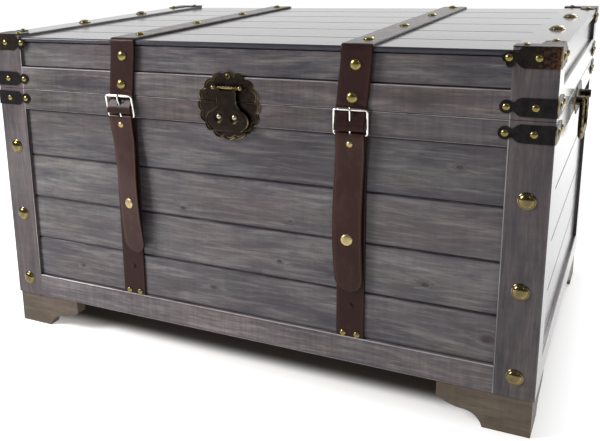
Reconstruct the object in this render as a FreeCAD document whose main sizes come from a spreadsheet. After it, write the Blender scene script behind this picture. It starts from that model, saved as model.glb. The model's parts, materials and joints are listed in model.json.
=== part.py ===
"""Sea chest: a frame-and-board trunk with a hinged lid, metal corners and buckled straps.

Millimetres. +X is the chest's width, the front faces -Y and +Z is up. The origin is on the
floor, under the middle of the chest.
"""
import FreeCAD, Part
import math
import os
import re

import Sketcher

SIZES = [
    # alias, value, what it is
    ("chest_width", 700, "over the corner posts, left to right"),
    ("chest_depth", 500, "over the corner posts, front to back"),
    ("chest_height", 415, "floor to the top of the end strips"),
    ("foot_height", 45, "floor to the underside of the box"),
    ("parting_height", 343.6, "floor to the top edge of the base"),
    ("parting_gap", 0.6, "lid's lower edge above the base"),
    ("stile_width", 43, "corner posts and end strips"),
    ("frame_thickness", 14, "posts and rails"),
    ("board_recess", 4, "boards behind the faces of posts and rails"),
    ("bottom_rail_height", 32, "rail under the wall boards"),
    ("top_rail_height", 27.6, "rail at the base's top edge"),
    ("lid_rail_height", 28.8, "rail at the lid's lower edge"),
    ("lowest_board", 56.5, "height of the lowest wall board"),
    ("board_pitch", 59.5, "height of the middle wall boards"),
    ("board_arris", 1.5, "bevel where two boards meet"),
    ("frame_arris", 1, "bevel along posts and rails"),
    ("floor_thickness", 10, "bottom panel"),
    ("top_thickness", 6, "boards of the top"),
    ("top_edge_board", 74.5, "first and last board of the top"),
    ("top_nose", 2.5, "rounding of the top's front and back edge"),
    ("strip_thickness", 3, "end strips on the top"),
    ("foot_length", 102, "along each face, at the box"),
    ("foot_contact", 52, "along each face, at the floor"),
    ("foot_thickness", 18, "boards of the bracket feet"),
    ("foot_inset", 2, "feet behind the faces of the posts"),
    ("foot_step", 18, "straight edge at a foot's inner end"),
    ("foot_hollow", 21.7, "hollow curve above a foot's toe"),
    ("foot_swell", 57, "full curve beside it"),
    ("plate_thickness", 1.2, "corner metal, hasp plates"),
    ("cap_reach", 43, "lid cap along the top's front edge, from the corner"),
    ("cap_band", 20.3, "lid cap, width of each band"),
    ("bracket_reach", 39, "corner metal from the corner to its waist"),
    ("shoulder_length", 7, "curved shoulders before the waist"),
    ("shoulder_radius", 12, "curve of the shoulders"),
    ("bracket_height", 18.6, "corner brackets"),
    ("bracket_margin", 3.5, "corner brackets from the parting edges"),
    ("bracket_round", 1.8, "outer bend of the corner brackets"),
    ("cap_round", 2.5, "outer bend of the lid caps"),
    ("lobe_radius", 6.8, "round ends of the corner brackets"),
    ("lobe_centre", 46, "round ends from the corner"),
    ("trefoil_lobe", 4.2, "each lobe of a lid cap's three-lobed ends"),
    ("trefoil_out", 2.6, "outer lobe, out from the middle"),
    ("trefoil_back", 1.2, "side lobes, back from the middle"),
    ("trefoil_side", 5.4, "side lobes, beside the middle"),
    ("trefoil_upper", 2.5, "upper lobe under the lid's edge, above the middle"),
    ("neck_height", 9, "waist before a round end"),
    ("small_nail_radius", 3.8, "nails of the corner metal"),
    ("small_nail_rise", 2.2, "height of their heads"),
    ("small_nail_inner", 19, "first nail from the corner"),
    ("strap_nail_radius", 6.2, "nails of the straps"),
    ("strap_nail_rise", 3, "height of their heads"),
    ("strap_nail_low", 13.3, "lower nail of a strap above the lid's lower edge"),
    ("strap_nail_high", 13, "upper nail of a strap below the top's underside"),
    ("large_nail_radius", 9.25, "nails of the posts"),
    ("large_nail_rise", 4.5, "height of their heads"),
    ("large_nail_low", 24, "lowest large nail above the box's underside"),
    ("large_nail_pitch", 97, "large nails up a post"),
    ("top_nail_spacing", 156, "large nails along an end strip"),
    ("strap_place", 148, "straps from the chest's middle"),
    ("strap_width", 33, "lid straps"),
    ("strap_thickness", 3, "leather of the lid straps"),
    ("under_strap_thickness", 2.6, "leather on the base"),
    ("under_rivet_height", 115, "rivet of an under strap above the floor"),
    ("strap_corner", 5, "outer rounding of a strap over an edge"),
    ("strap_back_end", 3, "strap's back end above the lid's lower edge"),
    ("tongue_end", 20, "tip of a strap's tongue below the parting edge"),
    ("tongue_bend", 15, "where the tongue hangs straight, below the parting edge"),
    ("tongue_slot", 13, "slot in the tongue for the prong, above the bend"),
    ("tongue_slot_end", 2, "the same slot, below the bend"),
    ("wire_radius", 1.3, "buckle frame"),
    ("buckle_stand", 0.2, "buckle frame in front of the strap"),
    ("buckle_top", 1.4, "buckle's upper bar above the parting edge"),
    ("buckle_drop", 27.5, "buckle's upper bar to its lower bar"),
    ("buckle_corner", 2.3, "bend of the buckle's wire"),
    ("buckle_clear", 0.9, "strap's edge to the buckle"),
    ("prong_radius", 1.1, "buckle prong"),
    ("prong_eye_width", 3.6, "prong's eye along the lower bar"),
    ("prong_wall", 1.5, "metal round the prong's eye"),
    ("prong_tip", 2.5, "prong's point past the upper bar"),
    ("flap_width", 31, "hanging flaps"),
    ("flap_thickness", 2.5, "leather of the flaps"),
    ("flap_end", 135, "tip of a flap above the floor"),
    ("flap_hang", 1, "hanging flap from the post's face"),
    ("flap_fold_drop", 28, "folded part of a flap below the buckle's bar"),
    ("snap_height", 198, "snap cap above the floor"),
    ("snap_radius", 5.3, "snap cap"),
    ("rivet_height", 307, "rivet of a flap's fold above the floor"),
    ("rivet_radius", 3.75, "rivet of a flap's fold"),
    ("running_gap", 0.05, "pins in their bores"),
    ("moving_gap", 0.3, "between pieces that pass each other"),
    ("hasp_height", 339, "centre of the round hasp plate above the floor"),
    ("hasp_disc", 34, "hasp plate to the roots of its scallops"),
    ("scallop_radius", 8.5, "each scallop of the hasp plate"),
    ("scallop_circle", 32.5, "centres of the scallops from the plate's centre"),
    ("hasp_pin_height", 361, "hasp pin above the floor"),
    ("hasp_pin_radius", 2, "hasp pin"),
    ("hasp_ball_radius", 3.2, "ball ends of the hasp pin"),
    ("ear_width", 1.2, "ears that hold the hasp pin"),
    ("curl_width", 4.5, "curls of the hasp flap"),
    ("hasp_barrel_radius", 3.4, "curls round the hasp pin"),
    ("hasp_neck_width", 25, "neck of the hasp flap"),
    ("hasp_flap_bottom", 309.4, "lower edge of the hasp flap above the floor"),
    ("hasp_flap_foot", 36, "straight lower edge of the hasp flap"),
    ("hasp_belly_width", 55, "hasp flap at its widest"),
    ("hasp_belly_height", 12, "its widest place above its lower edge"),
    ("hasp_belly_radius", 16, "curve up to its widest place"),
    ("hasp_shoulder_width", 38, "hasp flap where its shoulders turn hollow"),
    ("hasp_shoulder_height", 25, "that place above the lower edge"),
    ("hasp_shoulder_radius", 18, "full curve below that place"),
    ("hasp_hollow_height", 32.5, "foot of the straight neck above the lower edge"),
    ("hasp_hollow_radius", 9, "hollow curve into the neck"),
    ("hasp_flap_thickness", 1.8, "plate of the hasp flap"),
    ("hasp_stand", 4, "hasp flap from the plate behind it"),
    ("stud_height", 327, "studs of the hasp flap above the floor"),
    ("stud_place", 10, "studs from the middle"),
    ("stud_radius", 3.25, "heads of the studs"),
    ("stud_shank", 1.5, "shanks of the studs"),
    ("stud_well", 5.8, "round wells that the studs sit in"),
    ("stud_well_depth", 0.6, "depth of these wells"),
    ("handle_length", 104, "handle plate, point to point"),
    ("handle_plate_height", 34, "handle plate"),
    ("handle_middle", 326, "handle plate's middle above the floor"),
    ("bail_span", 76, "handle between its pivots"),
    ("bail_drop", 44, "handle below its pivots"),
    ("bail_radius", 3, "handle's bar"),
    ("bail_bend", 14, "lower bends of the handle"),
    ("bail_eye_bend", 4, "bends of the handle's ends into the bosses"),
    ("plate_round", 8, "blunt corners of the handle plate"),
    ("pivot_rise", 8, "handle's pivots from the side's face"),
    ("post_radius", 5, "bosses that hold the handle"),
    ("hinge_place", 210, "hinges from the chest's middle"),
    ("hinge_width", 50, "hinge leaves"),
    ("hinge_leaf", 24, "height of a hinge leaf"),
    ("leaf_thickness", 1.5, "hinge leaves"),
    ("barrel_radius", 4, "hinge barrel"),
    ("hinge_pin_radius", 1.6, "hinge pin"),
]
BASE_BOARDS = 4
TOP_BOARDS = 6
SCALLOPS = 16
NAIL_SIDES = 8
POST_NAILS = 3
STRAP_NAIL_SHARES = (-0.42, -0.12, 0.18, 0.46)
LOW_DOME = ((1, 0), (0.6, 1))
ROUND_DOME = ((1, 0), (0.78, 0.62), (0.35, 1))
FLAT = 1e-6

doc = FreeCAD.newDocument("sea_chest")
sheet = doc.addObject("Spreadsheet::Sheet", "Sizes")
for row, (alias, size, note) in enumerate(SIZES, start=1):
    sheet.set(f"A{row}", alias)
    sheet.set(f"B{row}", str(size))
    sheet.set(f"C{row}", note)
    sheet.setAlias(f"B{row}", alias)
doc.recompute()

ALIAS = re.compile(r"\b(" + "|".join(alias for alias, _, _ in SIZES) + r")\b")
nodes = []

# Places that several pieces share, as expressions on the sheet.
FACE_Y = "(chest_depth / 2)"
FACE_X = "(chest_width / 2)"
LID_BOTTOM = "(parting_height + parting_gap)"
TOP_FACE = "(chest_height - strip_thickness)"
TOP_UNDER = "(chest_height - strip_thickness - top_thickness)"
BOARD_THICKNESS = "(frame_thickness - board_recess)"
RAIL_LENGTH = "(chest_width - 2 * stile_width)"
SIDE_RAIL_LENGTH = "(chest_depth - 2 * stile_width)"
BUCKLE_PLANE = "(strap_thickness + wire_radius + buckle_stand)"
TONGUE_BACK = f"({BUCKLE_PLANE} + wire_radius + running_gap + flap_thickness + moving_gap)"
BUCKLE_BAR = "(parting_height + buckle_top)"
HEEL_BAR = "(parting_height + buckle_top - buckle_drop)"
FOLD_RADIUS = "(wire_radius + running_gap + flap_thickness)"
HASP_PIN_LENGTH = "(hasp_neck_width + 2 * (moving_gap + ear_width + running_gap + hasp_ball_radius))"
HASP_PIN_Y = "(chest_depth / 2 + plate_thickness + moving_gap + hasp_barrel_radius)"
HASP_FLAP_BACK = "(chest_depth / 2 + plate_thickness + hasp_stand)"
HINGE_Y = "(chest_depth / 2 + barrel_radius + moving_gap)"
HINGE_Z = "(parting_height + parting_gap / 2)"
PIVOT_X = "(chest_width / 2 + pivot_rise)"
POST_Y = "(bail_span / 2 - bail_eye_bend - 0.42 * bail_radius - moving_gap - post_radius)"


def linked(text):
    """The expression with each size read from the sheet."""
    return ALIAS.sub(r"Sizes.\1", text)


def value(text):
    """The expression's present value."""
    return float(sheet.evalExpression(linked(text)))


def bind(thing, place, text):
    thing.setExpression(place, linked(text))


def node(thing, label):
    """Name a finished sub-part, which is then written to its own file."""
    thing.Label = label
    nodes.append(thing)
    return thing


def new_body(name, apart=False):
    body = doc.addObject("PartDesign::Body", name)
    body.AllowCompound = apart
    return body


def origin_part(body, role):
    """A plane or an axis of the body's own origin."""
    return next(part for part in body.Origin.OriginFeatures if part.Role == role)


def new_sketch(body, role, offset):
    sketch = body.newObject("Sketcher::SketchObject", body.Name + "_sketch")
    sketch.AttachmentSupport = [(origin_part(body, role), "")]
    sketch.MapMode = "FlatFace"
    bind(sketch, "AttachmentOffset.Base.z", offset)
    return sketch


def hold_point(sketch, curve, end, u, v):
    """Hold a point of a sketch curve at its distances from the sketch's origin."""
    for kind, text in (("DistanceX", u), ("DistanceY", v)):
        place = sketch.addConstraint(Sketcher.Constraint(kind, curve, end, value(text)))
        bind(sketch, f"Constraints[{place}]", text)


def arc_between(start, end, radius, side):
    """The shorter arc between two points. It bulges to the left of the way on for side 1."""
    chord = end - start
    left = FreeCAD.Vector(-chord.y, chord.x, 0).normalize()
    rise = math.sqrt(radius ** 2 - chord.Length ** 2 / 4)
    centre = (start + end) * 0.5 - left * side * rise
    first, last = (end, start) if side > 0 else (start, end)
    angles = [math.atan2(spot.y - centre.y, spot.x - centre.x) for spot in (first, last)]
    return Part.ArcOfCircle(Part.Circle(centre, FreeCAD.Vector(0, 0, 1), radius), *angles)


def outline(body, role, corners, offset="0", closed=True):
    """A sketch of lines and arcs through the corners.

    A line starts at a corner (u, v). An arc starts at a corner (u, v, radius, side), and bulges
    to the left of its way for side 1 and to the right for side -1.
    """
    sketch = new_sketch(body, role, offset)
    spots = [FreeCAD.Vector(value(corner[0]), value(corner[1]), 0) for corner in corners]
    count = len(spots)
    curves = count if closed else count - 1
    ends = []
    for i in range(curves):
        start, end = spots[i], spots[(i + 1) % count]
        if len(corners[i]) == 2:
            sketch.addGeometry(Part.LineSegment(start, end))
            ends.append((1, 2))
        else:
            radius, side = corners[i][2:]
            sketch.addGeometry(arc_between(start, end, value(radius), side))
            ends.append((2, 1) if side > 0 else (1, 2))
            place = sketch.addConstraint(Sketcher.Constraint("Radius", i, value(radius)))
            bind(sketch, f"Constraints[{place}]", radius)
    for i in range(curves if closed else curves - 1):
        after = (i + 1) % count
        sketch.addConstraint(Sketcher.Constraint("Coincident", i, ends[i][1], after, ends[after][0]))
    for i in range(curves):
        hold_point(sketch, i, ends[i][0], *corners[i][:2])
    if not closed:
        hold_point(sketch, curves - 1, ends[-1][1], *corners[-1][:2])
    return sketch


def disc(body, role, u, v, radius, offset="0"):
    """A sketch of one circle."""
    sketch = new_sketch(body, role, offset)
    centre = FreeCAD.Vector(value(u), value(v), 0)
    sketch.addGeometry(Part.Circle(centre, FreeCAD.Vector(0, 0, 1), value(radius)))
    hold_point(sketch, 0, 3, u, v)
    place = sketch.addConstraint(Sketcher.Constraint("Radius", 0, value(radius)))
    bind(sketch, f"Constraints[{place}]", radius)
    return sketch


def rectangle(u_low, v_low, u_high, v_high):
    return [(u_low, v_low), (u_high, v_low), (u_high, v_high), (u_low, v_high)]


def pad(body, sketch, length, middle=False, back=False):
    """Thicken a sketch along its normal, both ways from the middle, or backwards."""
    feature = body.newObject("PartDesign::Pad", body.Name + "_pad")
    feature.Profile = sketch
    feature.Midplane = middle
    feature.Reversed = back
    bind(feature, "Length", length)
    return feature


def pocket(body, sketch, length, middle=False, back=False):
    """Cut a sketch away, and check that it met the solid."""
    doc.recompute()
    before = body.Shape.Volume
    feature = body.newObject("PartDesign::Pocket", body.Name + "_pocket")
    feature.Profile = sketch
    feature.Midplane = middle
    feature.Reversed = back
    bind(feature, "Length", length)
    doc.recompute()
    if body.Shape.Volume > before - FLAT:
        raise ValueError(f"{body.Name}: a pocket cuts nothing")
    return feature


def round_edges(body, radius, wanted):
    """Fillet the edges for which wanted(middle of the edge, its direction) holds."""
    doc.recompute()
    tip = body.Tip
    names = []
    for i, edge in enumerate(tip.Shape.Edges, start=1):
        if edge.Curve.TypeId != "Part::GeomLine":
            continue
        if wanted(edge.CenterOfMass, edge.tangentAt(edge.FirstParameter)):
            names.append(f"Edge{i}")
    feature = body.newObject("PartDesign::Fillet", body.Name + "_fillet")
    feature.Base = (tip, names)
    bind(feature, "Radius", radius)
    return feature


def near(number, text):
    return abs(number - value(text)) < 0.01


def mirrored(source, normal, name):
    """A mirror image across a plane through the origin."""
    image = doc.addObject("Part::Mirroring", name)
    image.Source = source
    image.Normal = normal
    return image


def across(source):
    return mirrored(source, (1, 0, 0), source.Name + "_across")


def behind(source):
    return mirrored(source, (0, 1, 0), source.Name + "_behind")


def grouped(label, pieces):
    """Several separate solids that share one node."""
    group = doc.addObject("Part::Compound", label)
    group.Links = pieces
    return node(group, label)


def four_corners(source):
    """The piece at the front right corner and its images at the other three."""
    beside = across(source)
    return [source, beside, behind(source), behind(beside)]


# ---- Wooden walls -----------------------------------------------------------------------

def wall_profile(side, low, high, inset, thickness, arris):
    """Section of a wall member: its inner edge square, its outer edges bevelled."""
    face = FACE_Y if side in ("front", "back") else FACE_X
    sign = "-1" if side in ("front", "left") else "1"
    outer = f"{sign} * ({face} - {inset})"
    bevel = f"{sign} * ({face} - {inset} - {arris})"
    inner = f"{sign} * ({face} - {inset} - {thickness})"
    return [(inner, low), (bevel, low), (outer, f"{low} + {arris}"),
            (outer, f"{high} - {arris}"), (bevel, high), (inner, high)]


def wall_member(name, side, low, high, inset, thickness, arris):
    """A board or rail that runs along one wall between the corner posts."""
    along_x = side in ("front", "back")
    body = new_body(name)
    role = "YZ_Plane" if along_x else "XZ_Plane"
    sketch = outline(body, role, wall_profile(side, low, high, inset, thickness, arris))
    pad(body, sketch, RAIL_LENGTH if along_x else SIDE_RAIL_LENGTH, middle=True)
    return body


def rail(name, side, low, high):
    return wall_member(name, side, low, high, "0", "frame_thickness", "frame_arris")


def board(name, side, low, high):
    return wall_member(name, side, low, high, "board_recess", BOARD_THICKNESS, "board_arris")


def base_board_edges():
    """Heights of the joints between the boards of a base wall, from below."""
    lowest = "(foot_height + bottom_rail_height)"
    edges = [lowest]
    for step in range(BASE_BOARDS - 1):
        edges.append(f"({lowest} + lowest_board + {step} * board_pitch)")
    edges.append("(parting_height - top_rail_height)")
    return edges


def wall_boards(side):
    edges = base_board_edges()
    return [board(f"{side}_board_{i + 1}", side, edges[i], edges[i + 1])
            for i in range(BASE_BOARDS)]


def corner_post(name, low, high):
    """An L-shaped post at the front right corner, from two stiles joined at the edge."""
    body = new_body(name)
    x, y = FACE_X, FACE_Y
    corners = [
        (f"{x} - stile_width", f"-{y}"),
        (f"{x} - frame_arris", f"-{y}"),
        (x, f"-{y} + frame_arris"),
        (x, f"-{y} + stile_width"),
        (f"{x} - frame_thickness", f"-{y} + stile_width"),
        (f"{x} - frame_thickness", f"-{y} + frame_thickness"),
        (f"{x} - stile_width", f"-{y} + frame_thickness"),
    ]
    pad(body, outline(body, "XY_Plane", corners, low), f"{high} - {low}")
    return body


def make_base_walls():
    for part in wall_boards("front"):
        node(part, part.Name)
    for side in ("back", "left", "right"):
        grouped(f"{side}_boards", wall_boards(side))
    for side in ("front", "back", "left", "right"):
        low = "(foot_height + bottom_rail_height)"
        node(rail(f"bottom_rail_{side}", side, "foot_height", low), f"bottom_rail_{side}")
        high = "(parting_height - top_rail_height)"
        node(rail(f"top_rail_{side}", side, high, "parting_height"), f"top_rail_{side}")
    front_right = corner_post("post_front_right", "foot_height", "parting_height")
    front_left = across(front_right)
    node(front_right, "post_front_right")
    node(front_left, "post_front_left")
    node(behind(front_right), "post_back_right")
    node(behind(front_left), "post_back_left")
    panel = new_body("bottom_panel")
    inner_x, inner_y = f"({FACE_X} - frame_thickness)", f"({FACE_Y} - frame_thickness)"
    sketch = outline(panel, "XY_Plane", rectangle(f"-{inner_x}", f"-{inner_y}", inner_x, inner_y),
                     "foot_height")
    pad(panel, sketch, "floor_thickness")
    node(panel, "bottom_panel")


def foot_profile(face, sign):
    """Side of a bracket foot: a straight toe, a hollow curve, a full curve and a square end."""
    toe = f"({face} - foot_contact)"
    end = f"({face} - foot_length)"
    step = "(foot_height - foot_step)"
    turn = f"({face} - foot_contact - 0.45 * (foot_length - foot_contact))"
    hollow = -1 if sign == "1" else 1
    return [(f"{sign} * ({face} - foot_inset)", "foot_height"),
            (f"{sign} * ({face} - foot_inset)", "0"),
            (f"{sign} * {toe}", "0", "foot_hollow", hollow),
            (f"{sign} * {turn}", f"0.63 * {step}", "foot_swell", -hollow),
            (f"{sign} * {end}", step),
            (f"{sign} * {end}", "foot_height")]


def make_feet():
    """Bracket feet of two boards each, joined at the corner."""
    body = new_body("foot")
    front = outline(body, "XZ_Plane", foot_profile(FACE_X, "1"), f"{FACE_Y} - foot_inset")
    pad(body, front, "foot_thickness", back=True)
    side = outline(body, "YZ_Plane", foot_profile(FACE_Y, "-1"), f"{FACE_X} - foot_inset")
    pad(body, side, "foot_thickness", back=True)
    grouped("feet", four_corners(body))


# ---- Lid --------------------------------------------------------------------------------

def top_board_edges():
    """Depths of the joints between the top's boards, from the front."""
    edges = [f"-{FACE_Y}"]
    for step in range(TOP_BOARDS - 1):
        edges.append(f"(-{FACE_Y} + top_edge_board + {step} * "
                     f"(chest_depth - 2 * top_edge_board) / {TOP_BOARDS - 2})")
    edges.append(FACE_Y)
    return edges


def top_board(name, low, high):
    body = new_body(name)
    corners = [(low, TOP_UNDER), (high, TOP_UNDER), (high, f"{TOP_FACE} - board_arris"),
               (f"{high} - board_arris", TOP_FACE), (f"{low} + board_arris", TOP_FACE),
               (low, f"{TOP_FACE} - board_arris")]
    if high == FACE_Y:
        corners[2:4] = [(high, TOP_FACE)]
    if low == f"-{FACE_Y}":
        corners[4:] = [(low, TOP_FACE)]
    pad(body, outline(body, "YZ_Plane", corners), "chest_width", middle=True)
    for edge in (low, high):
        if edge in (f"-{FACE_Y}", FACE_Y):
            round_edges(body, "top_nose",
                        lambda spot, way: near(spot.y, edge) and abs(way.x) > 0.9)
    return body


def make_lid():
    sides = ("front", "back", "left", "right")
    joint = f"({LID_BOTTOM} + lid_rail_height)"
    grouped("lid_rails", [rail(f"lid_rail_{side}", side, LID_BOTTOM, joint) for side in sides])
    grouped("lid_boards", [board(f"lid_board_{side}", side, joint, TOP_UNDER) for side in sides])
    grouped("lid_posts", four_corners(corner_post("lid_post", LID_BOTTOM, TOP_UNDER)))
    edges = top_board_edges()
    for i in range(TOP_BOARDS):
        node(top_board(f"top_board_{i + 1}", edges[i], edges[i + 1]), f"top_board_{i + 1}")
    strip = new_body("end_strip")
    x, y = FACE_X, FACE_Y
    corners = [(f"{x} - stile_width", TOP_FACE), (x, TOP_FACE),
               (x, "chest_height - frame_arris"), (f"{x} - frame_arris", "chest_height"),
               (f"{x} - stile_width + frame_arris", "chest_height"),
               (f"{x} - stile_width", "chest_height - frame_arris")]
    pad(strip, outline(strip, "XZ_Plane", corners), "chest_depth", middle=True)
    grouped("top_end_strips", [strip, across(strip)])


# ---- Corner metal -----------------------------------------------------------------------

def headed_strip(body, role, along, low, high, middle, offset, lobes, upright=False):
    """A strip of corner metal on one face, from the corner to its head.

    along(d) is the coordinate at a distance from the corner. The strip has curved shoulders and
    a waist, and the lobes are the discs of its head: each a place out and up, and a radius.
    """
    below, above = f"{middle} - neck_height / 2", f"{middle} + neck_height / 2"
    side = 1 if value(along("0")) > value(along("1")) else -1
    side = -side if upright else side
    shoulder = along("bracket_reach - shoulder_length")
    corners = [
        (along("-plate_thickness"), low),
        (shoulder, low, "shoulder_radius", side),
        (along("bracket_reach"), below),
        (along("lobe_centre"), below),
        (along("lobe_centre"), above),
        (along("bracket_reach"), above, "shoulder_radius", side),
        (shoulder, high),
        (along("-plate_thickness"), high),
    ]
    if upright:
        corners = [(corner[1], corner[0], *corner[2:]) for corner in corners]
    pad(body, outline(body, role, corners, offset), "plate_thickness")
    for out, up, radius in lobes:
        spot = (along(f"lobe_centre + {out}"), f"{middle} + {up}")
        spot = spot[::-1] if upright else spot
        pad(body, disc(body, role, *spot, radius, offset), "plate_thickness")


def from_corner(face, sign):
    """A coordinate as a function of the distance from the chest's front right corner."""
    return lambda distance: f"{sign} * ({face} - ({distance}))"


def trefoil(upper):
    """The three lobes of a cap's head; the upper one may sit closer to the middle."""
    places = (("trefoil_out", "0"), ("-trefoil_back", upper), ("-trefoil_back", "-trefoil_side"))
    return [(f"({out})", f"({up})", "trefoil_lobe") for out, up in places]


def bend_corner(body, radius):
    """Round the outer edge where the front and the side flange meet."""
    x, y = f"{FACE_X} + plate_thickness", f"-{FACE_Y} - plate_thickness"
    round_edges(body, radius,
                lambda spot, way: abs(way.z) > 0.9 and near(spot.x, x) and near(spot.y, y))


def corner_bracket(name, low):
    """A strip of metal bent round a vertical corner edge, with a round end on each face."""
    body = new_body(name)
    high, middle = f"({low} + bracket_height)", f"({low} + bracket_height / 2)"
    head = [("0", "0", "lobe_radius")]
    headed_strip(body, "XZ_Plane", from_corner(FACE_X, "1"), low, high, middle, FACE_Y, head)
    headed_strip(body, "YZ_Plane", from_corner(FACE_Y, "-1"), low, high, middle, FACE_X, head)
    bend_corner(body, "bracket_round")
    return body


def corner_cap():
    """Metal over a top corner of the lid: a band on each of the three faces."""
    body = new_body("corner_cap")
    top, plate = "chest_height", "plate_thickness"
    low, high, middle = f"({top} - cap_band)", f"({top} + {plate})", f"({top} - cap_band / 2)"
    to_left, to_back = from_corner(FACE_X, "1"), from_corner(FACE_Y, "-1")
    head = trefoil("trefoil_upper")
    headed_strip(body, "XZ_Plane", to_left, low, high, middle, FACE_Y, head)
    headed_strip(body, "YZ_Plane", to_back, low, high, middle, FACE_X, head)
    headed_strip(body, "XY_Plane", to_back, to_left("cap_band"), to_left(f"-{plate}"),
                 to_left("cap_band / 2"), top, trefoil("trefoil_side"), upright=True)
    above = rectangle(to_left("cap_reach"), to_back(f"-{plate}"),
                      to_left(f"-{plate}"), to_back("cap_band"))
    pad(body, outline(body, "XY_Plane", above, top), plate)
    bend_corner(body, "cap_round")
    return body


def make_corner_metal():
    grouped("lid_corner_caps", four_corners(corner_cap()))
    lid_low = f"({LID_BOTTOM} + bracket_margin)"
    grouped("lid_corner_brackets", four_corners(corner_bracket("lid_bracket", lid_low)))
    base_low = "(parting_height - bracket_margin - bracket_height)"
    grouped("base_corner_brackets", four_corners(corner_bracket("base_bracket", base_low)))


# ---- Nails ------------------------------------------------------------------------------

def nail_head(radius, rise, seat, way, rings=LOW_DOME):
    """A faceted dome on its seat, of rings that shrink as they rise."""
    levels = []
    for share_out, share_up in rings:
        levels.append([FreeCAD.Vector(radius * share_out * math.cos(2 * math.pi * i / NAIL_SIDES),
                                      radius * share_out * math.sin(2 * math.pi * i / NAIL_SIDES),
                                      rise * share_up) for i in range(NAIL_SIDES)])
    faces = [Part.Face(Part.makePolygon(level + level[:1])) for level in (levels[0], levels[-1])]
    for low, high in zip(levels, levels[1:]):
        for i in range(NAIL_SIDES):
            j = (i + 1) % NAIL_SIDES
            faces.append(Part.Face(Part.makePolygon([low[i], low[j], high[j], high[i], low[i]])))
    dome = Part.makeSolid(Part.makeShell(faces))
    dome.Placement = FreeCAD.Placement(
        FreeCAD.Vector(*seat), FreeCAD.Rotation(FreeCAD.Vector(0, 0, 1), FreeCAD.Vector(*way)))
    return dome


def nail_group(label, kind, seats):
    """All the nails of one kind on one body: each seat is a place and the way out of it."""
    radius, rise = value(f"{kind}_nail_radius"), value(f"{kind}_nail_rise")
    rings = LOW_DOME if kind == "small" else ROUND_DOME
    group = doc.addObject("Part::Feature", label)
    group.Shape = Part.makeCompound([nail_head(radius, rise, seat, way, rings)
                                     for seat, way in seats])
    return node(group, label)


def around(seats):
    """The same seats at the four corners of the chest."""
    turned = []
    for (x, y, z), (way_x, way_y, way_z) in seats:
        for side in (1, -1):
            for end in (1, -1):
                turned.append(((x * side, y * end, z), (way_x * side, way_y * end, way_z)))
    return turned


def corner_seats(height):
    """Two nails on the front flange and two on the side flange of the corner metal."""
    x, y = value(FACE_X), value(FACE_Y)
    plate = value("plate_thickness")
    seats = []
    for inward in (value("small_nail_inner"), value("lobe_centre")):
        seats.append(((x - inward, -y - plate, height), (0, -1, 0)))
        seats.append(((x + plate, -y + inward, height), (1, 0, 0)))
    return seats


def make_nails():
    x, y = value(FACE_X), value(FACE_Y)
    band = value("cap_band")
    over = value("chest_height + plate_thickness")
    lid_small = corner_seats(value("chest_height - cap_band / 2"))
    lid_small += corner_seats(value(f"{LID_BOTTOM} + bracket_margin + bracket_height / 2"))
    lid_small.append(((x - value("cap_reach") + band / 2, -y + band / 2, over), (0, 0, 1)))
    lid_small.append(((x - band / 2, -y + value("lobe_centre"), over), (0, 0, 1)))
    nail_group("lid_corner_nails", "small", around(lid_small))
    base_height = value("parting_height - bracket_margin - bracket_height / 2")
    base_small = around(corner_seats(base_height))
    under = -y + value("board_recess - under_strap_thickness")
    strap = value("strap_place")
    lowest = value("foot_height + bottom_rail_height + small_nail_radius")
    for side in (-strap, strap):
        for across_strap in (-value("strap_width / 4"), value("strap_width / 4")):
            base_small.append(((side + across_strap, under, lowest), (0, -1, 0)))
        base_small.append(((side, under, value("under_rivet_height")), (0, -1, 0)))
    nail_group("base_small_nails", "small", base_small)

    half_stile = value("stile_width / 2")
    low = value("foot_height + large_nail_low")
    posts = []
    for step in range(POST_NAILS):
        height = low + step * value("large_nail_pitch")
        posts.append(((x - half_stile, -y, height), (0, -1, 0)))
        posts.append(((x, -y + half_stile, height), (1, 0, 0)))
    nail_group("post_nails", "large", around(posts))
    strip = [((x - half_stile, value("top_nail_spacing / 2"), value("chest_height")), (0, 0, 1))]
    nail_group("end_strip_nails", "large", around(strip))

    skin = value("strap_thickness")
    seats = []
    for side in (-strap, strap):
        for height in (value(f"{LID_BOTTOM} + strap_nail_low"),
                       value(f"{TOP_UNDER} - strap_nail_high")):
            seats.append(((side, -y - skin, height), (0, -1, 0)))
            seats.append(((side, y + skin, height), (0, 1, 0)))
        for share in STRAP_NAIL_SHARES:
            seats.append(((side, share * value("chest_depth"), value(f"{TOP_FACE}") + skin),
                          (0, 0, 1)))
    nail_group("strap_nails", "strap", seats)


# ---- Straps and buckles -----------------------------------------------------------------

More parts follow.
